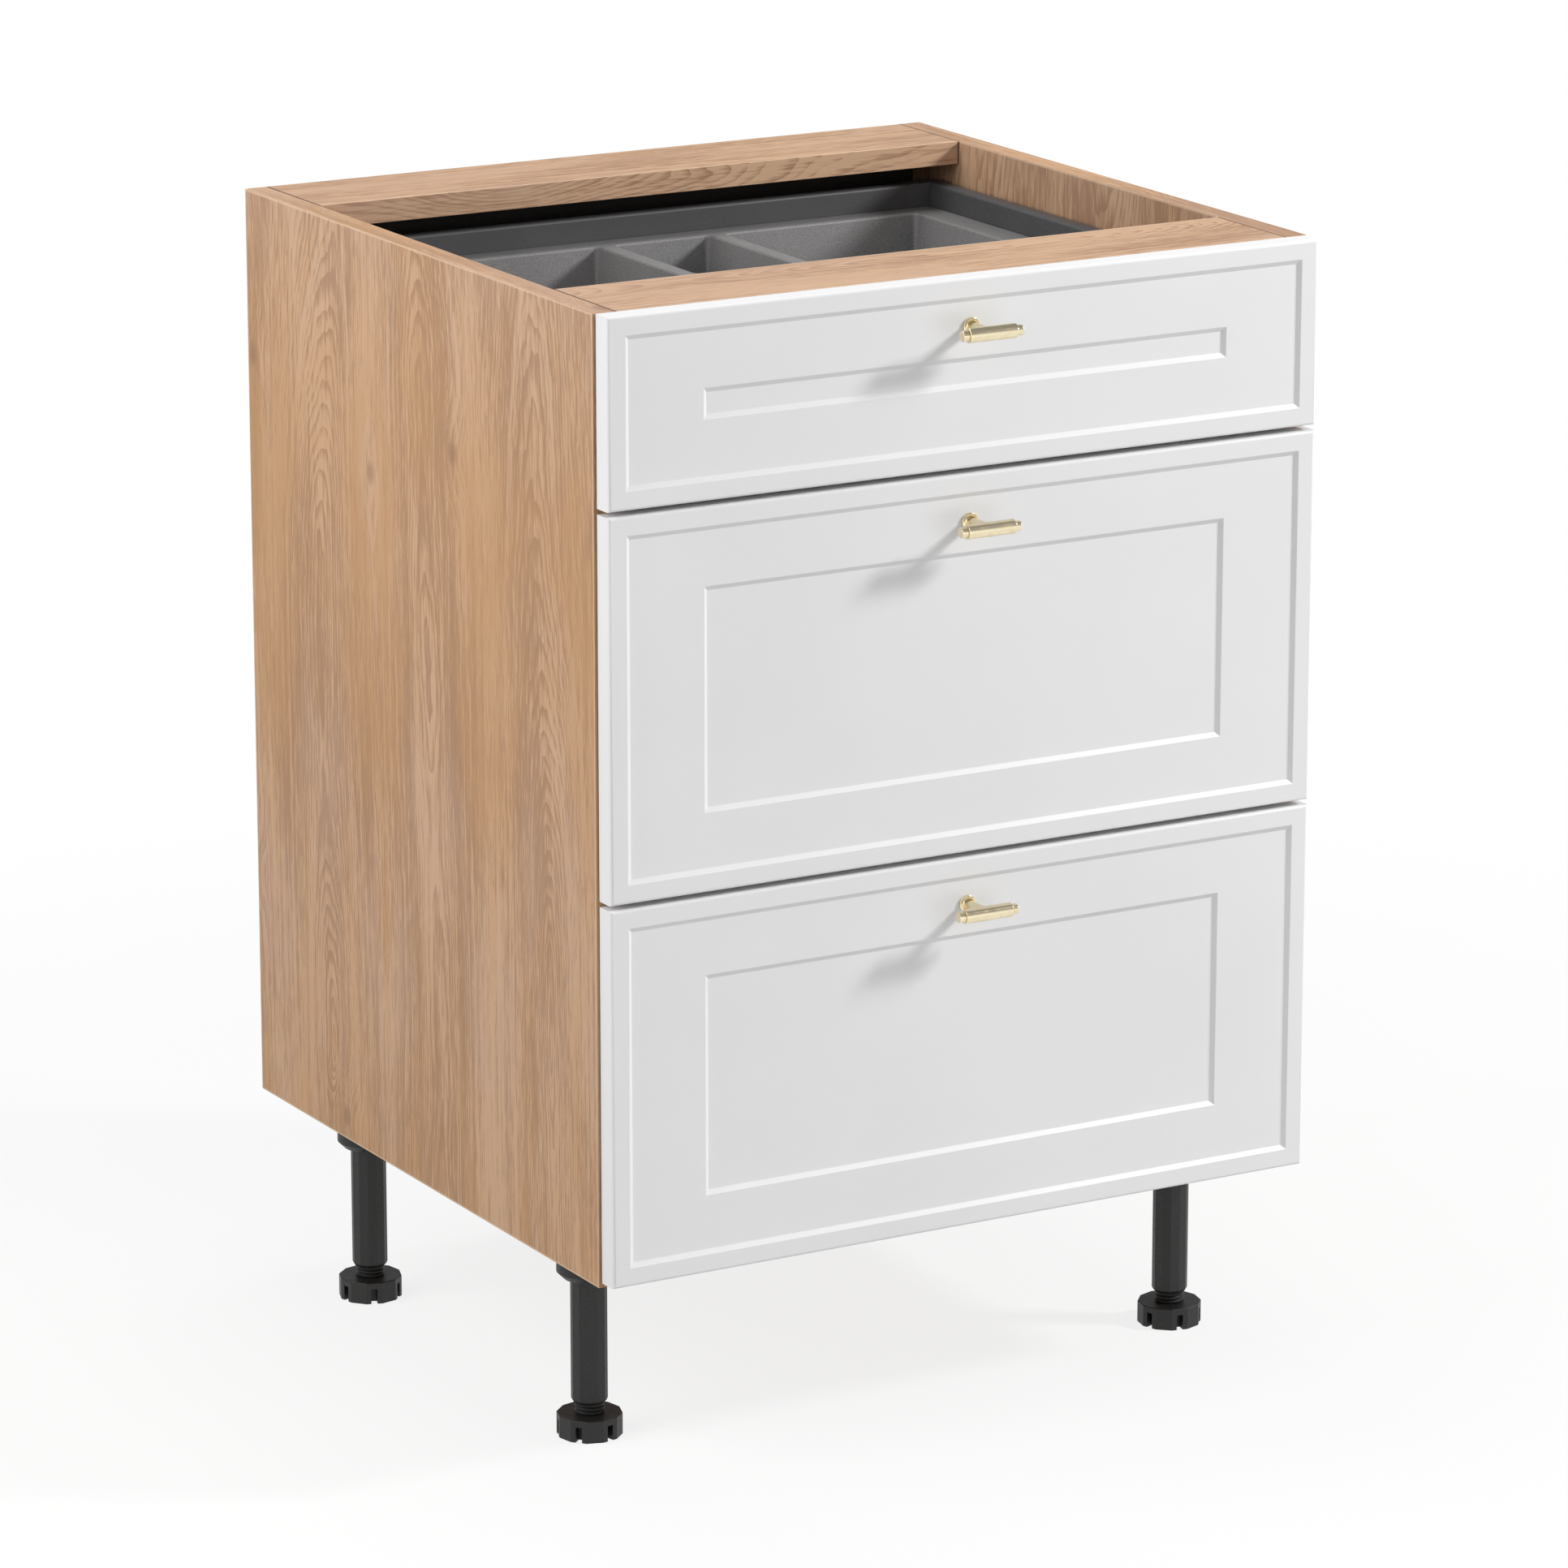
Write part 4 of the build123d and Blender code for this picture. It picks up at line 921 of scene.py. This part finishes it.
class CABINET_OT_stage(bpy.types.Operator):
    """Lay a plain pale floor, light it softly and set the camera"""

    bl_idname = "cabinet.stage"
    bl_label = "Floor, lamps and camera"

    # Each lamp's power setting, its direction from the cabinet's middle, its distance and its width in
    # metres. The knobs' shadows fall to the left and down, so the main lamp stands high on the right
    LAMPS = {
        "right lamp": ("key", (0.705, -0.47, 0.531), 3.46, 0.515),
        "left lamp": ("side", (-0.89, 0.052, 0.453), 1.91, 1.4),
        "front lamp": ("front", (0.1, -0.95, 0.05), 2.6, 1.6),
        "top lamp": ("top", (0.0, 0.2, 0.98), 2.2, 0.8),
    }
    # The floor's radius, and from where to where it fades out, in metres
    FLOOR_RADIUS = 3.0
    FLOOR_SEGMENTS = 96
    FADE_START, FADE_END = 0.6, 1.7
    # How much of the floor is plain white to the eye, so that the shadow on it stays pale
    WHITE_SHARE = 0.82
    # The studio darkens between these heights, where 0 is the horizon and 1 is straight up
    DUSK_START, DUSK_END = 0.05, 0.45
    # Width of the camera's sensor in millimetres
    SENSOR = 36.0

    def lamp(self, name, place, target, size, power):
        """A square soft lamp that faces a point."""
        light = bpy.data.lights.new(name, "AREA")
        light.size = size
        light.energy = power
        lamp = bpy.data.objects.new(name, light)
        bpy.context.scene.collection.objects.link(lamp)
        lamp.location = place
        lamp.visible_camera = False
        lamp.rotation_euler = (target - place).to_track_quat("-Z", "Y").to_euler()

    def seen(self, t, paths):
        """1 for what the camera sees, itself or in metal or glass, and 0 for the light on surfaces."""
        direct = paths.outputs["Is Camera Ray"]
        mirrored = add(t, "Math", {0: direct, 1: paths.outputs["Is Glossy Ray"]}, operation="MAXIMUM")
        return add(t, "Math", {0: mirrored, 1: paths.outputs["Is Transmission Ray"]}, operation="MAXIMUM")

    def pale_floor(self, look):
        """Matt white floor that fades into the white surround, and lets a view from below pass."""
        material, t = new_material("matt_white_floor")
        place = add(t, "TexCoord").outputs["Object"]
        reach = add(t, "VectorMath", {0: place}, operation="LENGTH").outputs["Value"]
        limits = {0: reach, 1: self.FADE_START, 2: self.FADE_END, 3: 0.0, 4: 1.0}
        fade = add(t, "MapRange", limits, interpolation_type="SMOOTHSTEP")
        below = add(t, "NewGeometry").outputs["Backfacing"]
        clear = add(t, "Math", {0: fade, 1: below}, operation="MAXIMUM")
        seen = self.seen(t, add(t, "LightPath"))
        tones = {0: seen, COLOUR_A: rgba(look.bounce), COLOUR_B: rgba(look.floor)}
        matt = add(t, "BsdfDiffuse", {"Color": add(t, "Mix", tones, data_type="RGBA").outputs[MIXED]})
        white = add(t, "Emission")
        pale = add(t, "Math", {0: seen, 1: self.WHITE_SHARE}, operation="MULTIPLY")
        floor = add(t, "MixShader", {0: pale, 1: matt, 2: white})
        both = add(t, "MixShader", {0: clear, 1: floor, 2: add(t, "BsdfTransparent")})
        add(t, "OutputMaterial", {"Surface": both})
        return material

    def surround(self, look):
        """Even light and a white background, with a darker studio overhead for metal to reflect."""
        world = bpy.data.worlds.new("studio")
        world.use_nodes = True
        t = world.node_tree
        t.nodes.clear()
        way = add(t, "SeparateXYZ", {0: add(t, "TexCoord").outputs["Generated"]})
        paths = add(t, "LightPath")
        white = linear("FFFFFF")
        dusk = ((self.DUSK_START, white), (self.DUSK_END, look.overhead))
        above = add(t, "ValToRGB", {0: way.outputs[Z]}, ramp=dusk)
        tones = {0: paths.outputs["Is Glossy Ray"], COLOUR_A: rgba(white), COLOUR_B: above}
        tone = add(t, "Mix", tones, data_type="RGBA").outputs[MIXED]
        strength = add(t, "MapRange", {0: self.seen(t, paths), 1: 0.0, 2: 1.0, 3: look.sky, 4: 1.0})
        light = add(t, "Background", {"Color": tone, "Strength": strength})
        add(t, "OutputWorld", {"Surface": light})
        return world

    def execute(self, context):
        look = context.scene.cabinet_stage
        scene = context.scene
        scene.view_settings.view_transform = "Standard"
        scene.world = self.surround(look)
        bm = bmesh.new()
        bmesh.ops.create_circle(bm, cap_ends=True, segments=self.FLOOR_SEGMENTS, radius=self.FLOOR_RADIUS)
        mesh = bpy.data.meshes.new("floor")
        bm.to_mesh(mesh)
        bm.free()
        mesh.materials.append(self.pale_floor(look))
        floor = bpy.data.objects.new("floor", mesh)
        scene.collection.objects.link(floor)
        low, high = cad_box
        middle = (low + high) / 2
        for name, (power, direction, distance, width) in self.LAMPS.items():
            place = middle + Vector(direction) * distance
            self.lamp(name, place, middle, width, getattr(look, power))
        camera = bpy.data.cameras.new("camera")
        camera.lens = look.lens
        camera.sensor_width = self.SENSOR
        viewer = bpy.data.objects.new("camera", camera)
        scene.collection.objects.link(viewer)
        viewer.location = look.place
        viewer.rotation_euler = (math.pi / 2 - look.elevation, 0.0, look.azimuth)
        scene.camera = viewer
        return {"FINISHED"}


OPERATORS = (
    CABINET_OT_boards,
    CABINET_OT_fittings,
    CABINET_OT_legs,
    CABINET_OT_fronts,
    CABINET_OT_knobs,
    CABINET_OT_boxes,
    CABINET_OT_runners,
    CABINET_OT_tray,
    CABINET_OT_stage,
)


class CABINET_PT_finishes(bpy.types.Panel):
    """Lists the cabinet's pieces, with their sizes and colours."""

    bl_label = "Drawer base cabinet"
    bl_idname = "CABINET_PT_finishes"
    bl_space_type = "VIEW_3D"
    bl_region_type = "UI"
    bl_category = "Cabinet"

    def draw(self, context):
        for operator in OPERATORS:
            self.layout.operator(operator.bl_idname)
        for name, group in SETTINGS.items():
            box = self.layout.box()
            for prop in group.__annotations__:
                box.prop(getattr(context.scene, name), prop)


def register():
    for group in SETTINGS.values():
        bpy.utils.register_class(group)
    for name, group in SETTINGS.items():
        setattr(bpy.types.Scene, name, PointerProperty(type=group))
    for operator in OPERATORS:
        bpy.utils.register_class(operator)
    bpy.utils.register_class(CABINET_PT_finishes)


def unregister():
    bpy.utils.unregister_class(CABINET_PT_finishes)
    for operator in reversed(OPERATORS):
        bpy.utils.unregister_class(operator)
    for name in SETTINGS:
        delattr(bpy.types.Scene, name)
    for group in SETTINGS.values():
        bpy.utils.unregister_class(group)


def main():
    register()
    bpy.ops.cabinet.boards()
    bpy.ops.cabinet.fittings()
    bpy.ops.cabinet.legs()
    bpy.ops.cabinet.fronts()
    bpy.ops.cabinet.knobs()
    bpy.ops.cabinet.boxes()
    bpy.ops.cabinet.runners()
    bpy.ops.cabinet.tray()
    bpy.ops.cabinet.stage()


if __name__ == "__main__":
    main()
